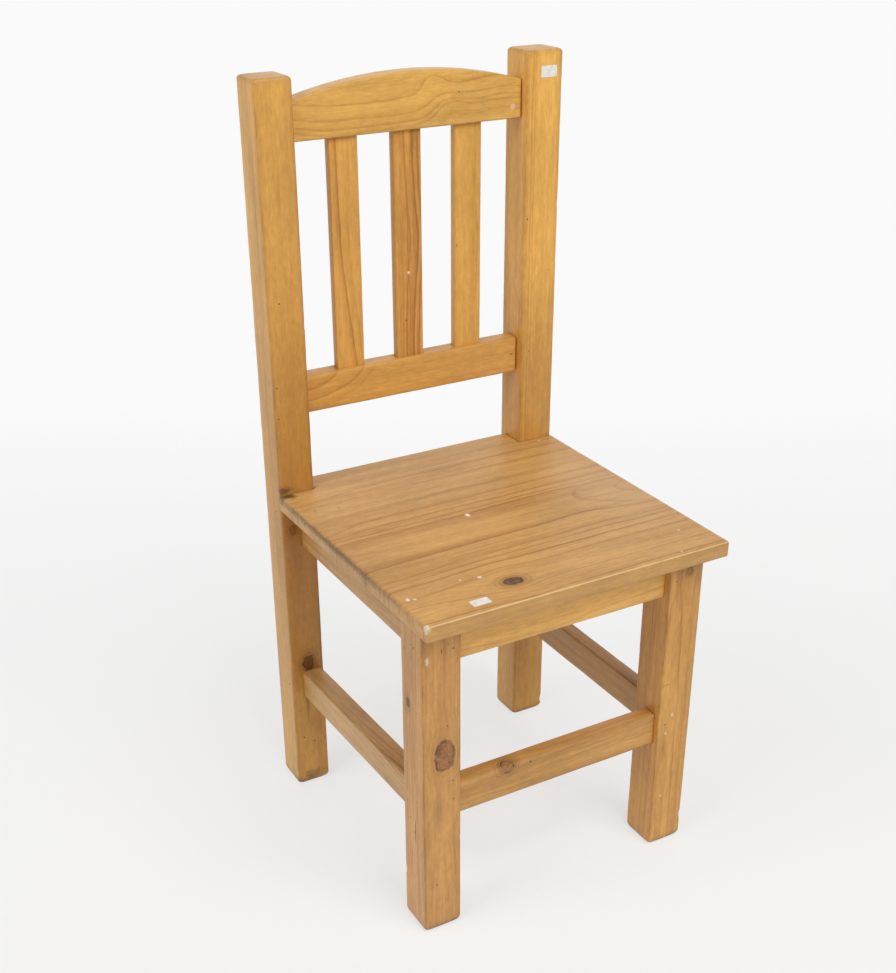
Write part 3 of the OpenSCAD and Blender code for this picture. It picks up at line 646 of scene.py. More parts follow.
def pine(name, axis, tone, pith, ring=7.0, wander=5.0, seed=0.0, contrast=0.40, band=0.36,
         free=1.0, figure=1.0, level=(1, 0, 0), lines=(), bends=(), ovals=(), flows=(), knots=(),
         marks=(), wear=0.5, dirt=0.35, rough_=0.42, coat=0.3):
    """A varnished pine material for one member.

    pith is where the rings' centre lies, in the groups' X and Y. flows are (place, across, along,
    push); knots are (place, radii, ragged, corners, halo, heart, rim); marks are (place, radii,
    colour, strength, soft, ragged). Places are in metres, radii in millimetres on the world's axes.

    lines, bends and ovals draw chosen late lines on a face whose direction across the grain is
    level, in millimetres: a line is (across, strength, lead), with a positive lead when the brown
    lies on its low side; a bend is (along, across, reach along, reach across, amount); an oval is
    (along, across, radius along, radius across, strength, lead). free is the rings' own share and
    figure is how strong the broad streaks are.
    """
    material, net, shader, v = new_material(name, GRAIN_TURN[axis])
    flowed = v
    for at, across, along, push in flows:
        flowed = use_group(net, FLOW, {"Vector": flowed, "Centre": grain_point(axis, at),
                                       "Across": across, "Along": along, "Push": push})["Vector"]
    rings = use_group(net, RINGS, {"Vector": flowed, "Pith X": pith[0], "Pith Y": pith[1],
                                   "Ring": ring, "Wander": wander, "Seed": seed})
    fibre = use_group(net, FIBRE, {"Vector": flowed, "Seed": seed})
    late = net.times(rings["Late"], free)
    soft_band = net.times(rings["Band"], free)
    if lines or ovals:
        late, soft_band = chosen_lines(net, flowed, level, lines, bends, ovals, late, soft_band)
    shaded = net.times_plus(soft_band, band, net.times(late, contrast))
    broad = net.ramp(fibre["Broad"], 0.30, 0.70, -0.10, 0.44, smooth=False)
    streak = net.ramp(fibre["Streak"], 0.30, 0.70, -0.14, 0.24, smooth=False)
    broad = net.times(broad, figure)
    streak = net.times(streak, figure)
    shaded = net.plus(shaded, net.plus(broad, streak), clamp=True)
    colour = net.mix(shaded, tone["early"], tone["late"])
    patch = net.ramp(fibre["Patch"], 0.3, 0.7, 0.90, 1.08, smooth=False)
    fine = net.ramp(fibre["Fine"], 0.3, 0.7, 0.92, 1.06, smooth=False)
    mottle = net.noise(net.vec("MULTIPLY", v, (0.22, 0.22, 0.07)), detail=4.0, rough_=0.68)
    mottle = net.ramp(mottle, 0.3, 0.7, 0.875, 1.10, smooth=False)
    shine = net.times(net.times(patch, fine), mottle)
    colour = net.mix(1.0, colour, net.join(shine, shine, shine), "MULTIPLY")
    colour = net.mix(net.times(fibre["Duct"], 0.20), colour, tone["late"])
    colour, core = draw_knots(net, v, axis, knots, colour)
    edge = net.node("ShaderNodeAttribute", attribute_name="edge_wear").outputs["Fac"]
    worn = use_group(net, HANDLING, {"Vector": v, "Colour": colour, "Edge": edge, "Amount": wear,
                                     "Dirt": dirt, "Seed": seed + 3.0})
    colour, spots = draw_marks(net, v, axis, marks, worn["Colour"])
    net.feed(shader.inputs["Base Color"], colour)
    roughness = net.plus(net.times_plus(fibre["Fine"], 0.12, rough_ - 0.06), worn["Rough"])
    roughness = net.times_plus(spots, 0.25, roughness, clamp=True)
    net.feed(shader.inputs["Roughness"], roughness)
    shader.inputs["Coat Weight"].default_value = coat
    shader.inputs["Coat Roughness"].default_value = 0.36
    shader.inputs["Specular IOR Level"].default_value = 0.3
    height = net.times_plus(late, 0.35, net.times(fibre["Fine"], 0.25))
    height = net.minus(height, net.times(worn["Pits"], 0.9))
    height = net.minus(height, net.times(spots, 0.5))
    height = net.times_plus(core, -0.4, height)
    add_bump(net, shader, height, 0.35, 0.4)
    return material


def chosen_lines(net, v, level, lines, bends, ovals, late, soft_band):
    """Late lines at chosen distances across the board, bent round its swellings"""
    along = net.split(v)[2]
    across = net.vec("DOT_PRODUCT", v, level)
    slow = net.noise(net.join(0.0, net.times(across, 1 / 25), net.times(along, 1 / 70)), detail=3.0)
    moved = net.times_plus(net.minus(slow, 0.5), 4.5, across)
    for at_along, at_across, reach_along, reach_across, amount in bends:
        bend = use_group(net, BEND, {"Along": along, "Across": across, "At Along": at_along,
                                     "At Across": at_across, "Reach Along": reach_along,
                                     "Reach Across": reach_across, "Amount": amount})
        moved = net.plus(moved, bend["Shift"])
    for distance, strength, lead in lines:
        side = 1.0 if lead > 0 else -1.0
        gap = net.times(net.minus(moved, distance), side)
        made = use_group(net, LATE_LINE, {"Gap": gap, "Strength": strength, "Lead": abs(lead),
                                          "Late": late, "Band": soft_band})
        late, soft_band = made["Late"], made["Band"]
    for at_along, at_across, radius_along, radius_across, strength, lead in ovals:
        place = net.join(net.math("DIVIDE", net.minus(along, at_along), radius_along),
                         net.math("DIVIDE", net.minus(moved, at_across), radius_across), 0.0)
        size = min(radius_along, radius_across) * (1 if lead > 0 else -1)
        gap = net.times(net.minus(net.vec("LENGTH", place), 1.0), size)
        made = use_group(net, LATE_LINE, {"Gap": gap, "Strength": strength, "Lead": abs(lead),
                                          "Late": late, "Band": soft_band})
        late, soft_band = made["Late"], made["Band"]
    return late, soft_band


# ---------------------------------------------------------------- small parts of the materials

def linear(red, green, blue):
    """An 8-bit screen colour as a linear one"""
    def one(c):
        c /= 255
        return c / 12.92 if c <= 0.04045 else ((c + 0.055) / 1.055) ** 2.4
    return one(red), one(green), one(blue)


def varnished(red, green, blue, depth=1.0):
    """Early and late wood for a varnished pine whose general colour is the one given"""
    r, g, b = linear(red, green, blue)
    early = (min(r * (1 + 0.13 * depth), 0.95), g * (1 + 0.18 * depth), b * (1 + 0.16 * depth), 1)
    late = (r * (1 - 0.32 * depth), g * (1 - 0.46 * depth), b * (1 - 0.62 * depth), 1)
    return {"early": early, "late": late}


# ---------------------------------------------------------------- members of the frame

def inner_x(box):
    """The face of a leg or post that looks towards the chair's middle"""
    lo, hi = box
    return lo[0] if lo[0] > 0 else -hi[0]


LEG_IN = inner_x(LEG["front_left_leg"])
POST_IN = inner_x(POST["rear_left_post"])
POST_RIGHT_IN = inner_x(POST["rear_right_post"])
LEG_BACK = LEG["front_left_leg"][1][1]
POST_FRONT = POST["rear_left_post"][0][1]

CROSS_RAILS = {
    "front_apron": (-LEG_IN, LEG_IN),
    "rear_apron": (-POST_IN, POST_RIGHT_IN),
    "front_stretcher": (-LEG_IN, LEG_IN),
    "lower_back_rail": (-POST_IN, POST_RIGHT_IN - OPEN_JOINT),
    "top_rail": (-POST_IN, POST_RIGHT_IN - OPEN_JOINT),
}
SIDE_RAILS = ("left_apron", "right_apron", "left_stretcher", "right_stretcher")
SLATS = ("left_slat", "middle_slat", "right_slat")
SLAT_STEP = 4 * MM
SLAT_WEAR = 0.5 * MM
CROWN_RISE = 21 * MM       # the top rail's arch over its ends
TOP_END_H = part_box("top_rail")[1][2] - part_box("top_rail")[0][2] - CROWN_RISE
LEFT_DROP = 12.5 * MM      # how much lower the left stretcher's rear end sits


def rail_span(name):
    """Where a rail's body starts and ends, shoulder to shoulder"""
    if name in CROSS_RAILS:
        return CROSS_RAILS[name]
    return LEG_BACK, POST_FRONT


def tenon_boxes(name):
    """The two tenons of a rail, as low and high corners"""
    lo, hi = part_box(name)
    axis = 0 if name in CROSS_RAILS else 1
    thick = 1 - axis
    start, end = rail_span(name)
    top = lo[2] + TOP_END_H if name == "top_rail" else hi[2]
    drop = LEFT_DROP if name == "left_stretcher" else 0.0
    mid = (lo[thick] + hi[thick]) / 2
    made = []
    for s0, s1, up, down in ((lo[axis], start, drop, 0.0), (end, hi[axis], 0.0, drop)):
        low, high = [0, 0, lo[2] + TENON_SHOULDER + up], [0, 0, top - TENON_SHOULDER - down]
        low[axis], high[axis] = s0, s1
        low[thick], high[thick] = mid - TENON_THICK / 2, mid + TENON_THICK / 2
        made.append((low, high))
    return made


def grown(box, by):
    """A box made larger all round"""
    lo, hi = box
    return [c - by for c in lo], [c + by for c in hi]


def mortises(member):
    """Mortises for every tenon that enters a leg or post"""
    lo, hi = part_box(member)
    found = []
    for rail in list(CROSS_RAILS) + list(SIDE_RAILS):
        for low, high in tenon_boxes(rail):
            if all(low[k] < hi[k] and high[k] > lo[k] for k in range(3)):
                found.append(grown((low, high), TENON_FIT))
    return found


def crown(s):
    """Height of the top rail's arch at s across the chair"""
    radius = (POST_IN ** 2 + CROWN_RISE ** 2) / (2 * CROWN_RISE)
    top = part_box("top_rail")[1][2]
    return top - radius + math.sqrt(radius ** 2 - s ** 2)


def upright(name, dents=(), wear=0.5 * MM, seed=1.0):
    """A leg or post: rounded at its foot, mortised for its rails"""
    lo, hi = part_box(name)
    top = ("round", TOP_ROUND, None) if name in POST else ("plain", 0.8 * MM, None)
    obj = eased_bar(name + "_wood", "z", lo, hi, ARRIS, (("round", FOOT_ROUND, None), top),
                    wear=wear, dents=dents, seed=seed, step=4.5 * MM, face_step=4 * MM)
    cut_boxes(obj, mortises(name))
    return obj


def rail(name, dents=(), wear=0.35 * MM, seed=1.0):
    """An apron, stretcher or back rail with a tenon at each end"""
    lo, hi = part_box(name)
    axis = "x" if name in CROSS_RAILS else "y"
    s_ax, a_ax, _ = AXES[axis]
    start, end = rail_span(name)
    body_lo, body_hi = list(lo), list(hi)
    body_lo[s_ax], body_hi[s_ax] = start, end
    inset_a = (hi[a_ax] - lo[a_ax] - TENON_THICK) / 2
    tenons = [(inset_a, TENON_SHOULDER, start - lo[s_ax]), (inset_a, TENON_SHOULDER, hi[s_ax] - end)]
    profile = None
    if name == "top_rail":
        def profile(s):
            return lo[1], hi[1], lo[2], crown(s)
    if name == "left_stretcher":
        def profile(s):
            down = LEFT_DROP * min(max((s - start) / (end - start), 0.0), 1.0)
            return lo[0], hi[0], lo[2] + LEFT_DROP - down, hi[2] - down
    obj = eased_bar(name + "_wood", axis, body_lo, body_hi, RAIL_ARRIS,
                    tuple(("tenon", 0.7 * MM, t) for t in tenons), wear=wear, dents=dents,
                    seed=seed, profile=profile, step=4 * MM, face_step=3.5 * MM, corner_steps=4)
    if name in ("top_rail", "lower_back_rail"):
        cut_boxes(obj, [grown(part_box(n), TENON_FIT) for n in SLATS])
    return obj


def slat_tree():
    """Geometry Nodes for one slat: an eased bar with worn edges, standing on its low end"""
    tree = bpy.data.node_groups.new("slat", "GeometryNodeTree")
    ids = {}
    for label, kind, value in (("Width", "Float", 0.035), ("Thickness", "Float", 0.012),
                               ("Height", "Float", 0.3), ("Edge Radius", "Float", 0.002),
                               ("Wear", "Float", 0.0003), ("Place", "Vector", (0, 0, 0)),
                               ("Seed", "Float", 0.0), ("Material", "Material", None)):
        made = tree.interface.new_socket(label, in_out="INPUT", socket_type="NodeSocket" + kind)
        if value is not None:
            made.default_value = value
        ids[label] = made.identifier
    tree.interface.new_socket("Geometry", in_out="OUTPUT", socket_type="NodeSocketGeometry")
    net = Net(tree)
    given = net.node("NodeGroupInput").outputs
    outline = net.node("GeometryNodeCurvePrimitiveQuadrilateral",
                       {"Width": given["Width"], "Height": given["Thickness"]})
    eased = net.node("GeometryNodeFilletCurve", {"Curve": outline.outputs["Curve"], "Count": 4,
                                                 "Radius": given["Edge Radius"]}, mode="POLY")
    top = net.join(0.0, 0.0, given["Height"])
    line = net.node("GeometryNodeCurvePrimitiveLine", {"End": top}).outputs["Curve"]
    rungs = net.node("GeometryNodeResampleCurve", {"Curve": line, "Length": SLAT_STEP}, mode="LENGTH")
    swept = net.node("GeometryNodeCurveToMesh", {"Curve": rungs.outputs["Curve"],
                                                 "Profile Curve": eased.outputs["Curve"],
                                                 "Fill Caps": True}).outputs["Mesh"]
    position = net.node("GeometryNodeInputPosition").outputs["Position"]
    x, y, _ = net.split(position)
    half_w = net.times(given["Width"], 0.5)
    half_t = net.times(given["Thickness"], 0.5)
    gap_x = net.minus(half_w, net.math("ABSOLUTE", x))
    gap_y = net.minus(half_t, net.math("ABSOLUTE", y))
    gap = net.plus(gap_x, gap_y)
    reach = net.times(given["Edge Radius"], 1.3)
    edge = net.node("ShaderNodeMapRange", {"Value": gap, "From Min": 0.0, "From Max": reach,
                                           "To Min": 1.0, "To Max": 0.0}, clamp=True)
    edge = edge.outputs["Result"]
    named = net.node("GeometryNodeStoreNamedAttribute", {"Geometry": swept, "Name": "edge_wear",
                                                         "Value": edge},
                     data_type="FLOAT", domain="POINT")
    drift = net.vec("ADD", position, net.vec("SCALE", (1.7, 3.1, 2.3), scale=given["Seed"]))
    lumps = net.noise(drift, scale=28.0, detail=3.0)
    depth = net.times(net.times(edge, lumps), given["Wear"])
    depth = net.plus(depth, net.times(net.noise(drift, scale=11.0), 0.3 * MM))
    normal = net.node("GeometryNodeInputNormal").outputs["Normal"]
    flat = net.vec("MULTIPLY", normal, (1, 1, 0))
    moved = net.node("GeometryNodeSetPosition", {"Geometry": named.outputs["Geometry"],
                                                 "Offset": net.vec("SCALE", flat,
                                                                   scale=net.times(depth, -1.0))})
    placed = net.node("GeometryNodeTransform", {"Geometry": moved.outputs["Geometry"],
                                                "Translation": given["Place"]})
    whole = net.node("GeometryNodeRealizeInstances", {"Geometry": placed.outputs["Geometry"]})
    coated = net.node("GeometryNodeSetMaterial", {"Geometry": whole.outputs["Geometry"],
                                                  "Material": given["Material"]})
    out = net.node("NodeGroupOutput")
    net.feed(out.inputs["Geometry"], coated.outputs["Geometry"])
    return tree, ids


def run_tree(name, tree, ids, values):
    """Runs a Geometry Nodes tree and keeps the result as a plain mesh"""
    obj = bpy.data.objects.new(name, bpy.data.meshes.new(name))
    bpy.context.collection.objects.link(obj)
    made = obj.modifiers.new("tree", "NODES")
    made.node_group = tree
    for label, value in values.items():
        made[ids[label]] = value
    keep_result(obj, made)
    return obj


# ---------------------------------------------------------------- the seat

SEAT_HALF_BACK = (SEAT_HI[0] - SEAT_LO[0]) / 2
SEAT_HALF_FRONT = SEAT_HALF_BACK - 1 * MM
NOTCH_LEFT = -POST_IN + 0.6 * MM
NOTCH_RIGHT = POST_RIGHT_IN - 0.6 * MM
NOTCH_Y = POST_FRONT - 0.6 * MM
EASE_FRONT = 3.6 * MM
EASE_SIDE = 3.4 * MM
EASE_BACK = 2.2 * MM
EASE_NOTCH = 1.3 * MM
CORNER_R = 3.4 * MM
UNDER_SHARE = 0.75        # the lower edges are rounded this much of the upper edges' size
SEAT_EDGE_STEPS = (6, 4, 5)      # round the upper edge, down the side, round the lower edge
SPACING = 3.0 * MM        # between the points of the seat's surface


def seat_half(y):
    """Half the seat's width, which grows a little towards the back"""
    t = (y - SEAT_LO[1]) / (SEAT_HI[1] - SEAT_LO[1])
    return SEAT_HALF_FRONT + (SEAT_HALF_BACK - SEAT_HALF_FRONT) * t


def seat_outline():
    """The seat's outer outline, anticlockwise from above: (point, inset of the top, ease)"""
    y0, y1 = SEAT_LO[1], SEAT_HI[1]
    half = seat_half(NOTCH_Y)
    lean = (SEAT_HALF_BACK - SEAT_HALF_FRONT) / (y1 - y0)
    right, left = Vector((1, -lean)).normalized(), Vector((-1, -lean)).normalized()
    front, back = Vector((0, -1)), Vector((0, 1))
    east, west = Vector((1, 0)), Vector((-1, 0))
    points = []

    def run(p, q, normal, ease, start=SPACING, end=SPACING):
        p, q = Vector(p), Vector(q)
        length = (q - p).length
        count = max(1, round((length - start - end) / SPACING))
        for k in range(count + 1):
            at = start + (length - start - end) * k / count
            points.append((p + (q - p) * (at / length), normal * ease, ease))

    def corner(p, n0, e0, n1, e1):
        points.append((Vector(p), n0 * e0 + n1 * e1, (e0 + e1) / 2))

    def turn(centre, start, e0, e1):
        for k in range(1, 8):
            angle = math.radians(start + 90 * k / 8)
            normal = Vector((math.cos(angle), math.sin(angle)))
            ease = e0 + (e1 - e0) * k / 8
            points.append((centre + normal * CORNER_R, normal * ease, ease))

    front_l, front_r = Vector((-SEAT_HALF_FRONT, y0)), Vector((SEAT_HALF_FRONT, y0))
    run(front_l, front_r, front, EASE_FRONT, CORNER_R, CORNER_R)
    turn(front_r + Vector((-CORNER_R, CORNER_R)), -90, EASE_FRONT, EASE_SIDE)
    run(front_r, (half, NOTCH_Y), right, EASE_SIDE, CORNER_R)
    corner((half, NOTCH_Y), right, EASE_SIDE, back, EASE_NOTCH)
    run((half, NOTCH_Y), (NOTCH_RIGHT, NOTCH_Y), back, EASE_NOTCH)
    corner((NOTCH_RIGHT, NOTCH_Y), back, EASE_NOTCH, east, EASE_NOTCH)
    run((NOTCH_RIGHT, NOTCH_Y), (NOTCH_RIGHT, y1), east, EASE_NOTCH)
    corner((NOTCH_RIGHT, y1), east, EASE_NOTCH, back, EASE_BACK)
    run((NOTCH_RIGHT, y1), (NOTCH_LEFT, y1), back, EASE_BACK)
    corner((NOTCH_LEFT, y1), back, EASE_BACK, west, EASE_NOTCH)
    run((NOTCH_LEFT, y1), (NOTCH_LEFT, NOTCH_Y), west, EASE_NOTCH)
    corner((NOTCH_LEFT, NOTCH_Y), west, EASE_NOTCH, back, EASE_NOTCH)
    run((NOTCH_LEFT, NOTCH_Y), (-half, NOTCH_Y), back, EASE_NOTCH)
    corner((-half, NOTCH_Y), back, EASE_NOTCH, left, EASE_SIDE)
    run((-half, NOTCH_Y), front_l, left, EASE_SIDE, SPACING, CORNER_R)
    turn(front_l + Vector((CORNER_R, CORNER_R)), -180, EASE_SIDE, EASE_FRONT)
    return points


# Splinters lost from the seat's edges: (centre, reach, raggedness). The centre lies off the board
SEAT_CHIPS = (
    ((-0.2010, -0.2115, 0.4385), 9.5 * MM, 0.35),
    ((-0.1990, -0.2110, 0.4250), 4.5 * MM, 0.40),
    ((-0.2010, -0.19375, 0.4400), 4.6 * MM, 0.40),
    ((-0.1900, -0.21175, 0.4395), 4.6 * MM, 0.40),
    ((-0.2000, -0.16975, 0.4390), 3.6 * MM, 0.40),
    ((-0.2000, -0.13575, 0.4385), 3.4 * MM, 0.40),
    ((-0.2010, -0.09075, 0.4385), 3.6 * MM, 0.40),
    ((-0.2015, 0.03225, 0.4390), 4.0 * MM, 0.40),
    ((0.2010, -0.21075, 0.4395), 7.0 * MM, 0.30),
    ((0.1000, -0.21075, 0.4390), 4.4 * MM, 0.40),
    ((-0.0500, -0.21075, 0.4393), 4.2 * MM, 0.40),
)

# Dents in the seat's top: (centre across and back, reach, depth)
SEAT_DENTS = (
    ((-0.0260, 0.00100), 7 * MM, 0.9 * MM),
    ((-0.0940, -0.14100), 6 * MM, 0.7 * MM),
    ((-0.1160, -0.13600), 5 * MM, 0.5 * MM),
    ((-0.1860, -0.14700), 6 * MM, 0.7 * MM),
    ((-0.1790, -0.15000), 5 * MM, 0.5 * MM),
    ((0.1650, -0.15700), 5 * MM, 0.5 * MM),
    ((0.1730, 0.15200), 6 * MM, 0.6 * MM),
    ((-0.0680, -0.16700), 14 * MM, 0.35 * MM),
    ((0.0400, 0.06225), 30 * MM, 0.25 * MM),
    ((-0.0900, 0.03225), 34 * MM, 0.25 * MM),
)


def chipped(point):
    """Moves a point of the seat out of every lost splinter that it lies in"""
    for centre, reach, ragged in SEAT_CHIPS:
        away = point - Vector(centre)
        edge = reach * (1 + ragged * rough(point, 4.5 * MM, 3.0))
        if away.length < edge:
            point = Vector(centre) + away.normalized() * edge
    return point


def seat_field():
    """Points spread over the flat of the seat, in staggered rows clear of its edges"""
    found = []
    clear = 0.6 * SPACING
    rows = int((SEAT_HI[1] - SEAT_LO[1]) / SPACING)
    columns = int((SEAT_HI[0] - SEAT_LO[0]) / SPACING)
    for r in range(1, rows):
        y = SEAT_LO[1] + EASE_FRONT + (r - 0.5) * SPACING
        if y > SEAT_HI[1] - EASE_BACK - clear:
            continue
        east_limit = seat_half(y) - EASE_SIDE - clear
        west_limit = -east_limit
        if y > NOTCH_Y - EASE_NOTCH - clear:
            west_limit = NOTCH_LEFT + EASE_NOTCH + clear
            east_limit = NOTCH_RIGHT - EASE_NOTCH - clear
        for c in range(columns + 1):
            x = SEAT_LO[0] + c * SPACING + (r % 2) * SPACING / 2
            near_corner = abs(x) > SEAT_HALF_FRONT - 2 * CORNER_R and y < SEAT_LO[1] + 2 * CORNER_R
            if west_limit < x < east_limit and not near_corner:
                found.append(Vector((x, y)))
    return found


def worn_seat_point(x, y, z, edge):
    """A point of the seat after wear, dents and lost splinters; its underside stays flat"""
    point = Vector((x, y, z))
    if z <= SEAT_LO[2] + 1 * MM:
        return point
    worn = 0.5 + 0.5 * rough(point, 45 * MM, 4.0) + 0.3 * rough(point, 9 * MM, 6.0)
    point.z -= 0.5 * MM * edge * max(0.0, worn)
    point.z -= 0.12 * MM * (1 + rough(point, 80 * MM, 8.0))
    for (dx, dy), reach, deep in SEAT_DENTS:
        gap = math.hypot(x - dx, y - dy) / reach
        if gap < 1 and z > SEAT_TOP - 3 * MM:
            point.z -= deep * (1 - gap * gap) ** 2
    return chipped(point)


def build_seat():
    """The seat board: its flat top and underside, joined by an eased edge"""
    outline = seat_outline()
    count = len(outline)
    inner = [point - inset for point, inset, _ in outline]
    ring = [(k, (k + 1) % count) for k in range(count)]
    flat, _, faces = geometry.delaunay_2d_cdt(inner + seat_field(), ring, [], 1, 1e-6)[:3]
    bm = bmesh.new()
    wear = bm.verts.layers.float.new("edge_wear")

    def place(x, y, z, edge):
        vert = bm.verts.new(worn_seat_point(x, y, z, edge))
        vert[wear] = edge
        return vert

    top = [place(p.x, p.y, SEAT_TOP, 0.0) for p in flat]
    bottom_z = SEAT_LO[2]
    bottom = [place(p.x, p.y, bottom_z, 0.0) for p in flat]
    for face in faces:
        bm.faces.new([top[k] for k in face])
        bm.faces.new([bottom[k] for k in reversed(face)])
    upper, side, lower = SEAT_EDGE_STEPS
    loops = [top[:count]]
    for step in range(1, upper + 1):
        turn = math.radians(90 * step / upper)
        edge = math.sin(2 * turn) * 0.7 + 0.3
        loops.append([place(*(point - inset * (1 - math.sin(turn))),
                            SEAT_TOP - ease * (1 - math.cos(turn)), edge)
                      for point, inset, ease in outline])
    for step in range(1, side + 1):
        share = step / side
        loops.append([place(*point, (SEAT_TOP - ease) * (1 - share)
                            + (bottom_z + ease * UNDER_SHARE) * share, 0.1)
                      for point, _, ease in outline])
    for step in range(1, lower):
        turn = math.radians(90 * step / lower)
        loops.append([place(*(point - inset * UNDER_SHARE * (1 - math.cos(turn))),
                            bottom_z + ease * UNDER_SHARE * (1 - math.sin(turn)), 0.3)
                      for point, inset, ease in outline])
    loops.append(bottom[:count])
    join_rings(bm, loops)
    return make_mesh_object("seat_board_wood", bm)


# ---------------------------------------------------------------- wood for each member

FRONT_Y = LEG["front_left_leg"][0][1]
LEG_OUT = -LEG["front_left_leg"][0][0]
POST_OUT = -POST["rear_left_post"][0][0]
BACK_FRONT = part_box("top_rail")[0][1]
PLUG_LO, PLUG_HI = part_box("top_rail_plug")
PLUG_X, PLUG_Z = (PLUG_LO[0] + PLUG_HI[0]) / 2, (PLUG_LO[2] + PLUG_HI[2]) / 2
PLUG_R = (PLUG_HI[0] - PLUG_LO[0]) / 2
UP = (-1, 0, 0)      # across the grain of a rail that runs left to right, on its front face


def spot(x, y, z, size=1.3, paint=DARK_SPOT, strength=0.85):
    """A small round speck"""
    return (x, y, z), (size, size, size), paint, strength, 0.5, 0.3


def patch(x, y, z, rx, ry, rz, paint, strength, soft=0.7, ragged=0.6):
    """A larger mark with its three radii"""
    return (x, y, z), (rx, ry, rz), paint, strength, soft, ragged


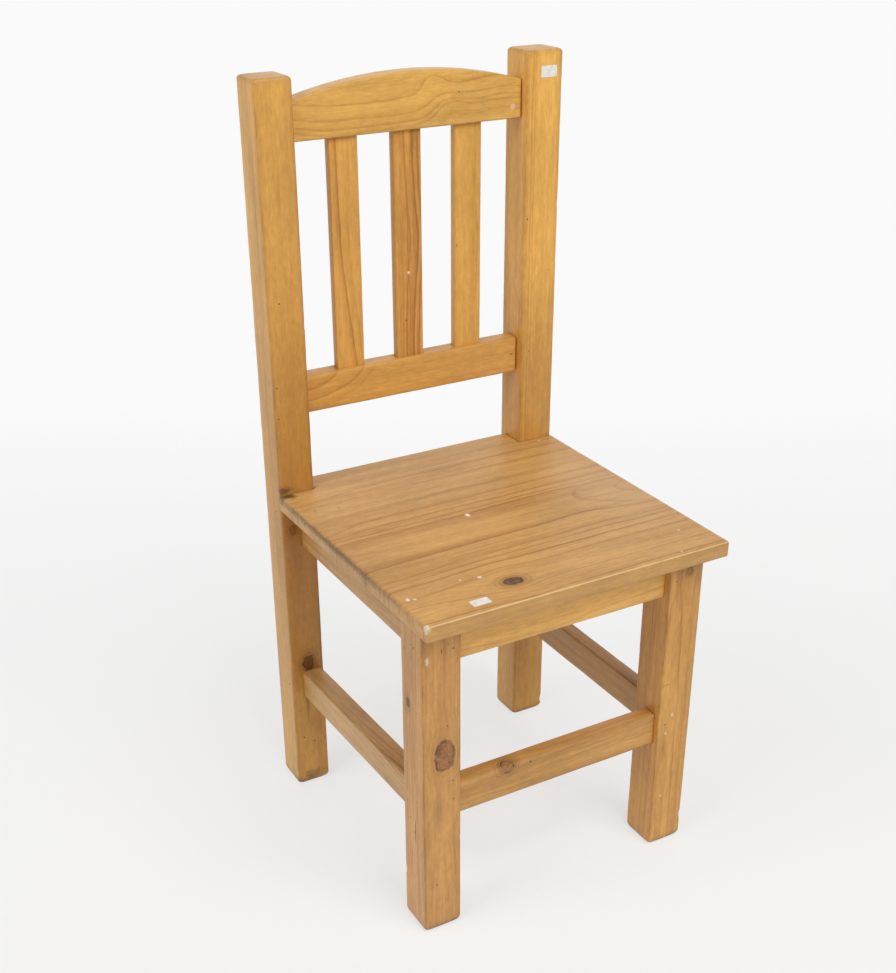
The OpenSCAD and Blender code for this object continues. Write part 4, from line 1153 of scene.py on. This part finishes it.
WOOD = {
    "front_left_leg": dict(
        axis="z", tone=varnished(205, 150, 84), pith=(-152, -118), ring=6.5, wander=6.0, seed=1.7,
        contrast=0.42, band=0.42,
        flows=(((-0.1605, FRONT_Y, 0.2465), 26, 46, 0.55), ((-LEG_OUT, -0.1465, 0.3080), 10, 22, 0.5),
               ((-0.1640, FRONT_Y, 0.0100), 17, 60, 0.6)),
        knots=(((-0.1605, FRONT_Y, 0.2465), (13.2, 26, 20.5), 0.26, 0.20, 0.22, RED_HEART, RED_RIM),
               ((-LEG_OUT, -0.1465, 0.3080), (9, 3.6, 6.4), 0.3, 0.0, 0.8, BLACK_HEART, BLACK_RIM)),
        marks=(patch(-0.164, FRONT_Y, 0.383, 1.0, 2, 4.0, DARK_SPOT, 0.7),
               patch(-0.156, FRONT_Y, 0.390, 0.9, 2, 3.0, DARK_SPOT, 0.6),
               patch(-0.1815, FRONT_Y + 0.001, 0.375, 2.3, 5, 6.5, BARE, 0.65, 0.5, 1.3),
               patch(-0.1690, FRONT_Y, 0.172, 10, 8, 34, BRUISE, 0.34, 0.95, 0.35),
               patch(-0.1640, FRONT_Y, 0.340, 50, 60, 75, AMBER, 0.16, 0.9, 0.3),
               patch(-0.1680, FRONT_Y, 0.2560, 7, 8, 10, RED_RIM, 0.55, 0.8, 0.9),
               spot(-0.150, FRONT_Y, 0.2095), spot(-LEG_OUT, -0.1608, 0.3845, 1.5),
               patch(-LEG_OUT, -0.1590, 0.136, 3, 1.3, 22, DARK_SPOT, 0.85, 0.4, 0.6),
               patch(-LEG_OUT, -0.1500, 0.0915, 3, 0.7, 34, BRUISE, 0.7, 0.4, 0.3),
               patch(-LEG_OUT, -0.1420, 0.225, 3, 0.6, 40, BRUISE, 0.5, 0.4, 0.3),
               patch(-0.1635, -0.15675, 0.0, 60, 60, 7, DIRT_AND_SHADE, 0.5, 0.9, 0.9)),
        wear=0.40, dirt=0.75),
    "front_right_leg": dict(
        axis="z", tone=varnished(214, 157, 82), pith=(150, -128), ring=5.6, wander=5.0, seed=4.1,
        contrast=0.40, band=0.40,
        flows=(((0.168, FRONT_Y, 0.3920), 10, 20, 0.6),),
        knots=(((0.168, FRONT_Y, 0.3920), (4.2, 6, 5.0), 0.3, 0.0, 0.7, TAN_HEART, RED_RIM),),
        marks=(patch(0.160, FRONT_Y, 0.1950, 2.0, 2, 3.6, BARE, 0.5, 0.5, 0.8),
               patch(0.152, FRONT_Y, 0.1700, 1.8, 2, 2.8, BARE, 0.5, 0.5, 0.8),
               patch(0.152, FRONT_Y, 0.0750, 2.0, 2, 2.6, BARE, 0.45, 0.5, 0.8),
               patch(0.147, FRONT_Y, 0.2420, 7.0, 2, 0.8, BRUISE, 0.5, 0.4, 0.5),
               spot(LEG_OUT - 0.045, -0.17025, 0.1205),
               patch(0.1635, -0.15675, 0.0, 60, 60, 7, DIRT_AND_SHADE, 0.5, 0.9, 0.9)),
        wear=0.40, dirt=0.65),
    "rear_left_post": dict(
        axis="z", tone=varnished(216, 160, 79), figure=0.6, pith=(-178, 215), ring=6.0, wander=6.5,
        seed=2.6, contrast=0.28, band=0.26,
        flows=(((-0.1730, POST_FRONT, 0.1900), 16, 34, 0.6),
               ((-0.1830, POST_FRONT, 0.3865), 9, 22, 0.5)),
        knots=(((-0.1830, POST_FRONT, 0.3865), (4.5, 8, 6.5), 0.3, 0.0, 0.7, RED_HEART, RED_RIM),
               ((-0.1730, POST_FRONT, 0.1900), (8, 12, 11), 0.55, 0.0, 0.9, BLACK_HEART, BLACK_RIM)),
        marks=(spot(-0.1856, POST_FRONT, 0.0752, 1.6), spot(-0.171, POST_FRONT, 0.065, 1.6),
               spot(-0.1830, POST_FRONT, 0.6750, 1.4), spot(-0.1924, POST_FRONT, 0.5745, 1.4),
               spot(-0.193, POST_FRONT, 0.5355, 1.3), spot(-POST_OUT, 0.17825, 0.4085, 1.5),
               # dirt and painted shade in the corner where the seat meets the post
               patch(-0.1930, POST_FRONT, 0.4420, 14, 10, 8, DIRT_AND_SHADE, 0.90, 0.8, 0.9),
               # painted shade below the seat, in red-amber
               patch(-0.1745, POST_FRONT, 0.2100, 60, 60, 230, RED_AMBER, 0.20, 0.9, 0.2),
               patch(-POST_OUT, 0.17875, 0.7775, 3, 0.7, 100, BRUISE, 0.6, 0.4, 0.3),
               patch(-POST_OUT, 0.18500, 0.5600, 3, 0.8, 90, BRUISE, 0.5, 0.4, 0.3),
               patch(-0.1775, POST_FRONT, 0.140, 3.4, 6, 46, BRUISE, 0.55, 0.6, 0.6),
               # painted shade darkening the post towards and below the seat, in amber
               patch(-0.1745, POST_FRONT, 0.480, 60, 60, 430, AMBER, 0.34, 0.9, 0.2),
               patch(-0.1745, POST_FRONT, 0.400, 60, 60, 260, AMBER, 0.34, 0.9, 0.2),
               patch(-0.1770, POST_FRONT, 0.012, 24, 8, 9, DIRT_AND_SHADE, 0.45, 0.8, 1.2),
               patch(-0.1745, 0.18495, 0.0, 60, 60, 16, DIRT_AND_SHADE, 0.6, 0.95, 1.1)),
        wear=0.35, dirt=0.70),
    "rear_right_post": dict(
        axis="z", tone=varnished(229, 172, 86), figure=0.6, pith=(172, 118), ring=6.2, wander=5.5,
        seed=5.3, contrast=0.26, band=0.24, free=0.6,
        lines=((152.0, 0.55, 6), (157.5, 0.70, 5), (161.0, 0.45, 3)),
        # painted shade darkening the post towards and below the seat, in amber
        marks=(patch(0.1745, POST_FRONT, 0.430, 60, 60, 330, AMBER, 0.34, 0.9, 0.2),
               patch(0.1745, POST_FRONT, 0.120, 60, 60, 300, AMBER, 0.40, 0.9, 0.2),
               spot(0.153, POST_FRONT, 0.730, 1.3), spot(0.160, POST_FRONT, 0.560, 1.2),
               patch(0.1745, 0.18495, 0.0, 60, 60, 10, DIRT_AND_SHADE, 0.6, 0.95, 1.1)),
        wear=0.35, dirt=0.55),
    # its tone is painted far paler than the other rails' as painted light, to cancel the shade under the
    # seat's overhang
    "front_apron": dict(
        axis="x", tone=varnished(240, 181, 98), pith=(-350, -120), ring=6.0, wander=7.0, seed=6.4,
        figure=0.6, wear=0.3, dirt=0.4),
    "rear_apron": dict(
        axis="x", tone=varnished(200, 148, 84), pith=(-420, 150), ring=5.0, wander=5.0, seed=7.7,
        wear=0.2, dirt=0.3),
    "left_apron": dict(
        axis="y", tone=varnished(198, 150, 90), pith=(-100, -330), ring=5.5, wander=5.0, seed=8.2,
        # painted shade along the apron's top, under the seat's overhang
        marks=(patch(-0.172, 0.0022, 0.4165, 12, 160, 7, DIRT_AND_SHADE, 0.35, 0.95, 0.5),),
        wear=0.35, dirt=0.35),
    "right_apron": dict(
        axis="y", tone=varnished(198, 150, 90), pith=(110, -420), ring=5.5, wander=5.0, seed=9.1,
        wear=0.3, dirt=0.3),
    "front_stretcher": dict(
        axis="x", tone=varnished(199, 147, 81), pith=(-140, -120), ring=6.5, wander=9.0, seed=3.2,
        flows=(((-0.0727, FRONT_Y + 0.008, 0.1952), 16, 30, 0.6),),
        knots=(((-0.0727, FRONT_Y + 0.009, 0.1952), (9, 9, 8), 0.35, 0.0, 0.9, TAN_HEART, BLACK_RIM),),
        marks=(spot(-0.041, FRONT_Y + 0.008, 0.1915, 1.8),), wear=0.45, dirt=0.5),
    "left_stretcher": dict(
        axis="y", tone=varnished(200, 154, 96), pith=(-120, -130), ring=5.0, wander=7.0, seed=2.2,
        marks=(spot(-0.178, -0.01775, 0.1695, 1.3), spot(-0.178, 0.09225, 0.1545, 1.2)),
        wear=0.45, dirt=0.5),
    "right_stretcher": dict(
        axis="y", tone=varnished(196, 148, 86), pith=(190, -140), ring=5.0, wander=7.0, seed=4.9,
        wear=0.4, dirt=0.5),
    "top_rail": dict(
        axis="x", tone=varnished(217, 165, 84), figure=0.5, pith=(-930, 130), ring=8.0, wander=9.0,
        seed=1.1, contrast=0.36, band=0.34, free=0.25, level=UP,
        lines=((883.5, 0.60, -9), (867.0, 0.55, -8), (857.5, 0.55, -5), (852.0, 0.45, -4),
               (903.0, 0.35, -10), (842.0, 0.30, -9)),
        bends=((120, 872, 75, 60, 22), (50, 872, 24, 18, 14), (27, 903, 20, 16, 20),
               (-165, 865, 35, 40, 8)),
        ovals=((60, 860, 8, 6, 0.45, 4), (60, 860, 4.5, 3, 0.45, 3)),
        marks=(patch(PLUG_X, BACK_FRONT, PLUG_Z, PLUG_R / MM, 4, PLUG_R / MM, PLUG_FACE,
                     0.9, 0.2, 0.15),),
        wear=0.35, dirt=0.30),
    "lower_back_rail": dict(
        axis="x", tone=varnished(214, 156, 79), figure=0.45, pith=(-500, 150), ring=6.0, wander=6.0,
        seed=3.9, contrast=0.34, band=0.32, free=0.3, level=UP,
        lines=((541.0, 0.30, 6), (577.0, 0.20, -12)),
        ovals=((-150, 595, 85, 48, 0.75, 14), (-150, 595, 50, 35, 0.80, 12),
               (-150, 595, 98, 60, 0.35, 10)),
        marks=(patch(0.140, BACK_FRONT, 0.556, 3.0, 3, 1.0, DARK_SPOT, 0.8, 0.5, 0.3),),
        wear=0.35, dirt=0.35),
    "left_slat": dict(
        axis="z", tone=varnished(219, 160, 78), figure=0.5, pith=(-120, 205), ring=5.5, wander=5.0,
        seed=6.1, contrast=0.40, band=0.42, free=0.4,
        lines=((-96.0, 0.90, 12), (-86.0, 0.25, 6)), bends=((540, -85, 130, 60, 20),),
        wear=0.3, dirt=0.35),
    "middle_slat": dict(
        axis="z", tone=varnished(210, 150, 72), pith=(18, 196), ring=5.0, wander=6.0, seed=7.3,
        contrast=0.62, band=0.50, free=0.8,
        lines=((2.0, 0.85, 7), (9.0, 0.75, 5), (-8.0, 0.50, 5), (15.0, 0.45, 4)),
        bends=((720, 6, 60, 18, 7),),
        marks=(patch(-0.005, 0.17905, 0.682, 2.4, 2, 2.6, BARE, 0.8),
               patch(0.0045, 0.17905, 0.838, 5, 3, 26, BRUISE, 0.40, 0.9, 0.5)), wear=0.3, dirt=0.35),
    "right_slat": dict(
        axis="z", tone=varnished(216, 160, 78), figure=0.5, pith=(105, 215), ring=6.0, wander=5.0,
        seed=8.8, contrast=0.34, band=0.30, free=0.45, lines=((88.0, 0.5, 6),),
        bends=((700, 90, 50, 20, 4),),
        marks=(patch(0.062, 0.17905, 0.706, 1.4, 2, 3.0, BRUISE, 0.6),), wear=0.3, dirt=0.25),
}

SEAT_WOOD = dict(
    axis="x", tone=varnished(200, 152, 92), figure=0.8, pith=(-640, -60), ring=7.5, wander=4.5, seed=1.3,
    contrast=0.46, band=0.44, free=0.22, level=(0, 1, 0),
    lines=((135.0, 0.45, -9), (112.0, 0.60, 10), (44.5, 0.60, -12), (25.5, 0.60, -5), (13.0, 0.65, -5),
           (4.5, 0.90, 28), (-65.5, 0.90, -17), (-97.0, 0.50, -8), (-108.0, 0.60, -5),
           (-121.0, 0.75, -4), (-139.5, 0.55, -2), (-178.5, 0.50, 4), (-202.5, 0.70, 5),
           (150.0, 0.25, -14), (178.0, 0.20, 8), (70.0, 0.20, 10), (-85.0, 0.20, 10),
           (-30.0, 0.25, 14)),
    bends=((95, -62, 38, 40, 6), (200, -62, 65, 26, -17), (-215, 40, 45, 22, -24),
           (-215, 128, 70, 12, -24), (70, 5, 60, 9, 4.5), (-190, -147, 70, 10, -12),
           (-200, -172, 60, 10, 13), (-230, -95, 120, 40, -11)),
    ovals=((215, -22, 102, 35, 0.50, 9), (215, -22, 43, 15, 0.55, 7)),
    flows=(((-0.068, -0.167, SEAT_TOP), 30, 34, 0.55),),
    knots=(((-0.068, -0.167, SEAT_TOP), (12, 8, 30), 0.3, 0.0, 0.85, BLACK_HEART, BLACK_RIM),),
    marks=(
        patch(-0.0260, 0.0010, SEAT_TOP, 3.2, 5.2, 3, BARE, 0.95, 0.35, 0.8),
        patch(-0.0940, -0.1410, SEAT_TOP, 3.0, 3.4, 3, BARE, 0.85, 0.4, 0.9),
        patch(-0.1160, -0.1360, SEAT_TOP, 2.0, 1.8, 3, BARE, 0.50, 0.4, 0.9),
        patch(-0.1860, -0.1470, SEAT_TOP, 3.0, 4.0, 3, BARE, 0.85, 0.4, 0.9),
        patch(-0.1790, -0.1500, SEAT_TOP, 2.0, 2.8, 3, BARE, 0.70, 0.4, 0.9),
        patch(0.1650, -0.1570, SEAT_TOP, 2.2, 2.2, 3, BARE, 0.45, 0.4, 0.9),
        patch(0.1340, -0.2030, SEAT_TOP - 0.002, 2.2, 2.2, 3, BARE, 0.65, 0.4, 0.9),
        patch(0.1730, 0.1520, SEAT_TOP, 2.2, 2.2, 3, BARE, 0.45, 0.4, 0.9),
        spot(-0.1500, 0.0950, SEAT_TOP, 1.5), spot(-0.1780, 0.1020, SEAT_TOP, 1.3),
        spot(-0.1480, 0.1660, SEAT_TOP, 1.5), spot(0.134, -0.20345, 0.4191, 1.4),
        # dirt and painted shade in the corner where the seat meets the rear left post
        patch(-0.1900, 0.1560, SEAT_TOP, 14, 13, 14, DIRT_AND_SHADE, 0.95, 0.8, 0.8),
        patch(-0.1965, -0.2060, SEAT_TOP - 0.004, 6, 6, 7, BARE, 0.55, 0.6, 1.1),
        # the seat's front top edge: rubbed wear and a painted highlight along it
        patch(0.0, SEAT_LO[1] + 0.0010, SEAT_TOP - 0.0012, 600, 1.5, 1.3, GOLD_RUB_AND_HIGHLIGHT, 0.60, 0.8, 0.5),
        # painted reflection paling the seat's right side
        patch(0.170, -0.0200, SEAT_TOP, 80, 150, 40, PAINTED_SHEEN, 0.30, 0.95, 0.2),
        patch(-0.200, -0.0300, SEAT_TOP, 75, 210, 40, SHADE_BROWN, 0.22, 0.95, 0.4),
        patch(-0.1995, 0.0022, SEAT_TOP - 0.004, 3.6, 260, 8, DIRT_AND_SHADE, 0.75, 0.9, 0.8)),
    wear=0.25, dirt=0.40, rough_=0.46, coat=0.22)

def dent(x, y, z, reach, depth):
    """A bruise in a member's surface, all in millimetres"""
    return (x * MM, y * MM, z * MM), reach * MM, depth * MM


DENTS = {
    "front_left_leg": (
        dent(-186, -179.75, 376.5, 8, 1.6),
        dent(-141, -179.75, 124.5, 6, 0.9),
        dent(-186, -132.75, 64.5, 7, 1.2),
        dent(-186, -179.75, 13.5, 9, 1.6),
    ),
    "front_right_leg": (
        dent(163, -179.75, 194.5, 4, 0.5),
        dent(141, -179.75, 254.5, 6, 1),
        dent(186, -179.75, 31.5, 8, 1.4),
    ),
    "rear_left_post": (
        dent(-197, 162.05, 784.5, 6, 0.9),
        dent(-197, 162.05, 504.5, 7, 1.2),
        dent(-152, 162.05, 644.5, 6, 0.8),
        dent(-197, 162.05, 13.5, 10, 2),
    ),
    "rear_right_post": (
        dent(197, 162.05, 744.5, 6, 0.9),
        dent(149, 162.05, 474.5, 6, 0.9),
        dent(197, 162.05, 13.5, 9, 1.8),
    ),
    "front_stretcher": (
        dent(-20, -171.75, 197.5, 6, 0.9),
        dent(85, -171.75, 197.5, 7, 0.8),
    ),
    "left_stretcher": (
        dent(-180, 32.25, 183.5, 6, 0.9),
        dent(-180, -67.75, 188, 7, 0.8),
    ),
    "top_rail": (
        dent(-60, 173.05, 911.5, 7, 0.7),
        dent(90, 173.05, 905.5, 6, 0.7),
    ),
}


def finish_piece(obj, node, material=None):
    """Puts a finished piece in its CAD node's place"""
    if material is not None:
        obj.data.materials.clear()
        obj.data.materials.append(material)
    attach(obj, BODY)
    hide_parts(node)


FRAME_NODES = list(LEG) + list(POST) + ["front_apron", "rear_apron", "front_stretcher"]
FRAME_NODES += list(SIDE_RAILS)
BACK_NODES = ["top_rail", "lower_back_rail"]

for number, node in enumerate(FRAME_NODES + BACK_NODES):
    build = upright if node in LEG or node in POST else rail
    piece = build(node, dents=DENTS.get(node, ()), seed=number * 1.7 + 1)
    shade(piece)
    finish_piece(piece, node, pine(node + "_pine", **WOOD[node]))

SLAT_TREE, SLAT_IDS = slat_tree()
for number, node in enumerate(SLATS):
    lo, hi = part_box(node)
    material = pine(node + "_pine", **WOOD[node])
    piece = run_tree(node + "_wood", SLAT_TREE, SLAT_IDS, {
        "Width": hi[0] - lo[0], "Thickness": hi[1] - lo[1], "Height": hi[2] - lo[2],
        "Edge Radius": RAIL_ARRIS, "Wear": SLAT_WEAR, "Seed": number * 2.3 + 1.0,
        "Place": ((lo[0] + hi[0]) / 2, (lo[1] + hi[1]) / 2, lo[2]), "Material": material})
    shade(piece)
    finish_piece(piece, node)

seat = build_seat()
shade(seat, 50)
finish_piece(seat, "seat_board", pine("seat_pine", **SEAT_WOOD))


# ---------------------------------------------------------------- plug, stickers and fixings

def plug_pine():
    """The plug's paler end grain, with a dark ring of old glue round it"""
    material, net, shader, v = new_material("plug_end_grain")
    centre = [(a + b) / 2 / MM for a, b in zip(PLUG_LO, PLUG_HI)]
    x, _, z = net.split(net.vec("SUBTRACT", v, centre))
    away = net.math("SQRT", net.times_plus(x, x, net.times(z, z)))
    rings = net.math("SINE", net.times_plus(net.noise(v, scale=0.5), 5.0, net.times(x, 4.0)))
    colour = net.mix(net.ramp(rings, -1, 1), PLUG_PALE, PLUG_DARK)
    pores = net.noise(v, scale=4.0, detail=4.0, rough_=0.7)
    colour = net.mix(net.ramp(pores, 0.55, 0.7, 0.0, 0.4), colour, PLUG_PORE)
    glue = net.ramp(away, 3.35, 3.8)
    colour = net.mix(glue, colour, OLD_GLUE)
    net.feed(shader.inputs["Base Color"], colour)
    net.feed(shader.inputs["Roughness"], net.ramp(pores, 0.3, 0.7, 0.45, 0.65))
    add_bump(net, shader, pores, 0.4, 0.3)
    return material


def build_plug():
    """A turned plug: a shallow dome with a rounded rim, and its shank in the hole"""
    front, back = PLUG_LO[1], PLUG_HI[1]
    outline = [(0.0, 0.25), (0.35, 0.22), (0.7, 0.12), (0.88, 0.10), (0.95, 0.22), (0.985, 0.45),
               (1.0, 0.8), (1.0, 2.0), (1.0, (back - front) / MM)]
    bm = bmesh.new()
    steps = 40
    rings = []
    for share, depth in outline[1:]:
        reach = PLUG_R * share
        ring = []
        for k in range(steps):
            turn = 2 * math.pi * k / steps
            ring.append(bm.verts.new((PLUG_X + reach * math.cos(turn), front + depth * MM,
                                      PLUG_Z + reach * math.sin(turn))))
        rings.append(ring)
    tip = bm.verts.new((PLUG_X, front + outline[0][1] * MM, PLUG_Z))
    for k in range(steps):
        bm.faces.new((tip, rings[0][k], rings[0][(k + 1) % steps]))
    join_rings(bm, rings)
    bm.faces.new(rings[-1])
    return make_mesh_object("top_rail_plug_wood", bm)


def paper(name):
    """Plain white label paper, slightly yellowed and scuffed, with nothing printed on it"""
    material, net, shader, v = new_material(name)
    fibres = net.noise(v, scale=2.2, detail=5.0, rough_=0.7)
    stain = net.noise(v, scale=0.16, detail=3.0)
    colour = net.mix(net.ramp(stain, 0.4, 0.75), PAPER, YELLOWED)
    colour = net.mix(net.ramp(fibres, 0.55, 0.75, 0.0, 0.25), colour, PAPER_FIBRE)
    net.feed(shader.inputs["Base Color"], colour)
    net.feed(shader.inputs["Roughness"], net.ramp(fibres, 0.3, 0.7, 0.55, 0.75))
    add_bump(net, shader, fibres, 0.25, 0.1)
    return material


def build_sticker(node, flat_axis, outside):
    """A small label with rounded corners and slightly rolled edges; outside is its top's side"""
    lo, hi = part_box(node)
    across = [k for k in range(3) if k != flat_axis]
    size = [hi[k] - lo[k] for k in across]
    mid = [(hi[k] + lo[k]) / 2 for k in across]
    thick = hi[flat_axis] - lo[flat_axis]
    corner = 1.6 * MM
    columns, rows = 22, 13
    bm = bmesh.new()
    layers = []
    for level in (0, 1):
        grid = []
        for r in range(rows + 1):
            line = []
            for c in range(columns + 1):
                u, v = (c / columns - 0.5) * size[0], (r / rows - 0.5) * size[1]
                du = abs(u) - (size[0] / 2 - corner)
                dv = abs(v) - (size[1] / 2 - corner)
                if du > 0 and dv > 0:
                    gap = math.hypot(du, dv)
                    pull = corner / gap if gap > corner else 1.0
                    u = math.copysign(size[0] / 2 - corner + du * pull, u)
                    v = math.copysign(size[1] / 2 - corner + dv * pull, v)
                place = [0.0, 0.0, 0.0]
                place[across[0]], place[across[1]] = mid[0] + u, mid[1] + v
                ripple = 0.35 + 0.3 * rough((u, v, 0), 7 * MM, 2.0)
                depth = thick * (ripple * 0.5 if level else 1.0)
                place[flat_axis] = (hi if outside > 0 else lo)[flat_axis] - outside * depth
                line.append(bm.verts.new(place))
            grid.append(line)
        layers.append(grid)
    for grid in layers:
        for r in range(rows):
            for c in range(columns):
                bm.faces.new((grid[r][c], grid[r][c + 1], grid[r + 1][c + 1], grid[r + 1][c]))
    low, high = layers
    rim = ([(0, c) for c in range(columns)] + [(r, columns) for r in range(rows)]
           + [(rows, c) for c in range(columns, 0, -1)] + [(r, 0) for r in range(rows, 0, -1)])
    for (r0, c0), (r1, c1) in zip(rim, rim[1:] + rim[:1]):
        bm.faces.new((low[r0][c0], low[r1][c1], high[r1][c1], high[r0][c0]))
    return make_mesh_object(node + "_paper", bm)


def steel(name, colour, rough_low, rough_high, metallic):
    """Old fixings: dull metal with brown stains, or heads varnished over with the wood"""
    material, net, shader, v = new_material(name)
    stain = net.noise(v, scale=0.7, detail=4.0, rough_=0.65)
    grain = net.noise(v, scale=5.0, detail=3.0)
    tinted = net.mix(net.ramp(stain, 0.42, 0.68), colour, RUST)
    net.feed(shader.inputs["Base Color"], tinted)
    net.feed(shader.inputs["Metallic"], net.ramp(stain, 0.45, 0.7, metallic, metallic * 0.2))
    net.feed(shader.inputs["Roughness"], net.ramp(grain, 0.3, 0.7, rough_low, rough_high))
    add_bump(net, shader, grain, 0.3, 0.2)
    return material


plug = build_plug()
shade(plug, 50)
finish_piece(plug, "top_rail_plug", plug_pine())

for node, flat_axis, outside in (("post_sticker", 1, -1), ("seat_sticker", 2, 1)):
    sticker = build_sticker(node, flat_axis, outside)
    shade(sticker, 50)
    finish_piece(sticker, node, paper(node + "_label"))


def dress(node, material):
    """Gives a CAD piece that stays as it is a better material"""
    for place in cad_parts[node].material_slots:
        place.material = material


screw_steel = steel("screw_steel", STEEL, 0.35, 0.6, 1.0)
varnished_brad = steel("varnished_brad", VARNISHED_STEEL, 0.4, 0.6, 0.3)
dark_nail = steel("dark_nail", DARK_STEEL, 0.4, 0.65, 0.7)
for node in ("block_screws", "seat_screws", "top_rail_screw"):
    dress(node, screw_steel)
for node in ("apron_brads", "stretcher_brads"):
    dress(node, varnished_brad)
dress("lower_rail_nail", dark_nail)

raw = varnished(214, 178, 130)
for number, node in enumerate(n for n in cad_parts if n.startswith("corner_block")):
    dress(node, pine(node + "_pine", axis="z", tone=raw, pith=(30, 25), ring=4.0, wander=3.0,
                     seed=number * 1.3 + 2, wear=0.1, dirt=0.1, rough_=0.62, coat=0.0))


# ---------------------------------------------------------------- floor and backdrop

FLOOR_BACK = 3.1
FLOOR_FRONT = -4.0
FLOOR_SIDE = 6.0
WALL_TOP = 4.0
SWEEP = 0.5                          # radius of the curve from floor to wall
VIEW_TURN = math.radians(29.11)      # the camera looks this far to the right of straight back
VIEW_ALONG = (math.sin(VIEW_TURN), math.cos(VIEW_TURN), 0.0)


def build_backdrop():
    """A pale floor that curves up into a wall behind"""
    bm = bmesh.new()
    section = [(FLOOR_FRONT, 0.0), (FLOOR_BACK - SWEEP, 0.0)]
    for k in range(1, 13):
        turn = math.radians(90 * k / 12)
        section.append((FLOOR_BACK - SWEEP + SWEEP * math.sin(turn), SWEEP * (1 - math.cos(turn))))
    section.append((FLOOR_BACK, WALL_TOP))
    lines = [[bm.verts.new((x, y, z)) for y, z in section] for x in (-FLOOR_SIDE, FLOOR_SIDE)]
    for k in range(len(section) - 1):
        bm.faces.new((lines[0][k], lines[1][k], lines[1][k + 1], lines[0][k + 1]))
    obj = make_mesh_object("studio_sweep", bm)
    obj.data.shade_smooth()
    obj.data.transform(Matrix.Rotation(-VIEW_TURN, 4, "Z"))
    return obj


def studio_white():
    """Pale floor and wall, which glow more the further back they lie, so the wall stays white"""
    material = bpy.data.materials.new("studio_white")
    material.use_nodes = True
    net = Net(material.node_tree)
    shader = material.node_tree.nodes["Principled BSDF"]
    place = net.node("ShaderNodeTexCoord").outputs["Object"]
    wash = net.noise(place, scale=0.35, detail=1.0)
    colour = net.mix(net.ramp(wash, 0.3, 0.7), (0.87, 0.87, 0.87, 1), (0.885, 0.885, 0.885, 1))
    net.feed(shader.inputs["Base Color"], colour)
    shader.inputs["Roughness"].default_value = 0.9
    shader.inputs["Specular IOR Level"].default_value = 0.1
    rays = net.node("ShaderNodeLightPath").outputs
    seen = net.math("MAXIMUM", rays["Is Camera Ray"], rays["Is Glossy Ray"])
    seen = net.math("MAXIMUM", seen, rays["Is Transmission Ray"])
    far = net.vec("DOT_PRODUCT", place, VIEW_ALONG)
    white = net.ramp(far, -0.7, 1.5, 0.46, 0.94, smooth=False)
    glow = net.node("ShaderNodeEmission", {"Color": (0.985, 0.985, 0.985, 1), "Strength": 1.0})
    blend = net.node("ShaderNodeMixShader", {0: net.times(seen, white), 1: shader.outputs["BSDF"],
                                             2: glow.outputs[0]})
    net.feed(material.node_tree.nodes["Material Output"].inputs["Surface"], blend.outputs[0])
    return material


backdrop = build_backdrop()
backdrop.data.materials.append(studio_white())


# ---------------------------------------------------------------- light and camera

SKY = (1.0, 0.995, 0.985, 1)
SKY_STRENGTH = 0.34
WARM_LAMP = (1.0, 0.99, 0.975)
CAMERA_AT = Vector((-0.77774, -1.27511, 1.14093))
CAMERA_LOOK = Vector((0.42826, 0.76926, -0.47417)).normalized()
CAMERA_ROLL = math.radians(-0.44)
CAMERA_LENS = 51.005
CAMERA_SHIFT = (0.0106, 0.1000)


def light_sky():
    """An even, faintly warm light from all round"""
    world = bpy.data.worlds.new("studio")
    world.use_nodes = True
    sky = world.node_tree.nodes["Background"]
    sky.inputs["Color"].default_value = SKY
    sky.inputs["Strength"].default_value = SKY_STRENGTH
    bpy.context.scene.world = world


def area_lamp(name, place, aim, size, power, colour=(1, 1, 1)):
    """A soft box at a place in metres, turned to shine at aim; its power is in watts"""
    data = bpy.data.lights.new(name, "AREA")
    data.shape = "RECTANGLE"
    data.size, data.size_y = size
    data.energy = power
    data.color = colour
    lamp = bpy.data.objects.new(name, data)
    lamp.location = place
    lamp.rotation_euler = (Vector(aim) - Vector(place)).to_track_quat("-Z", "Y").to_euler()
    bpy.context.collection.objects.link(lamp)


def add_camera():
    """The camera: its look, then its roll about that look"""
    level = CAMERA_LOOK.cross(Vector((0, 0, 1))).normalized()
    upward = level.cross(CAMERA_LOOK)
    right = level * math.cos(CAMERA_ROLL) + upward * math.sin(CAMERA_ROLL)
    up = right.cross(CAMERA_LOOK)
    data = bpy.data.cameras.new("camera")
    data.lens = CAMERA_LENS
    data.shift_x, data.shift_y = CAMERA_SHIFT
    camera = bpy.data.objects.new("camera", data)
    camera.matrix_world = Matrix((
        (right.x, up.x, -CAMERA_LOOK.x, CAMERA_AT.x),
        (right.y, up.y, -CAMERA_LOOK.y, CAMERA_AT.y),
        (right.z, up.z, -CAMERA_LOOK.z, CAMERA_AT.z),
        (0, 0, 0, 1)))
    bpy.context.collection.objects.link(camera)
    bpy.context.scene.camera = camera


light_sky()
area_lamp("front_soft_box", (0.25, -1.75, 2.45), (0, 0, 0.55), (1.7, 1.4), 40, WARM_LAMP)
area_lamp("left_soft_box", (-2.1, -0.25, 2.2), (0, 0, 0.45), (1.5, 1.5), 26.5)
add_camera()
bpy.context.scene.view_settings.view_transform = "Standard"
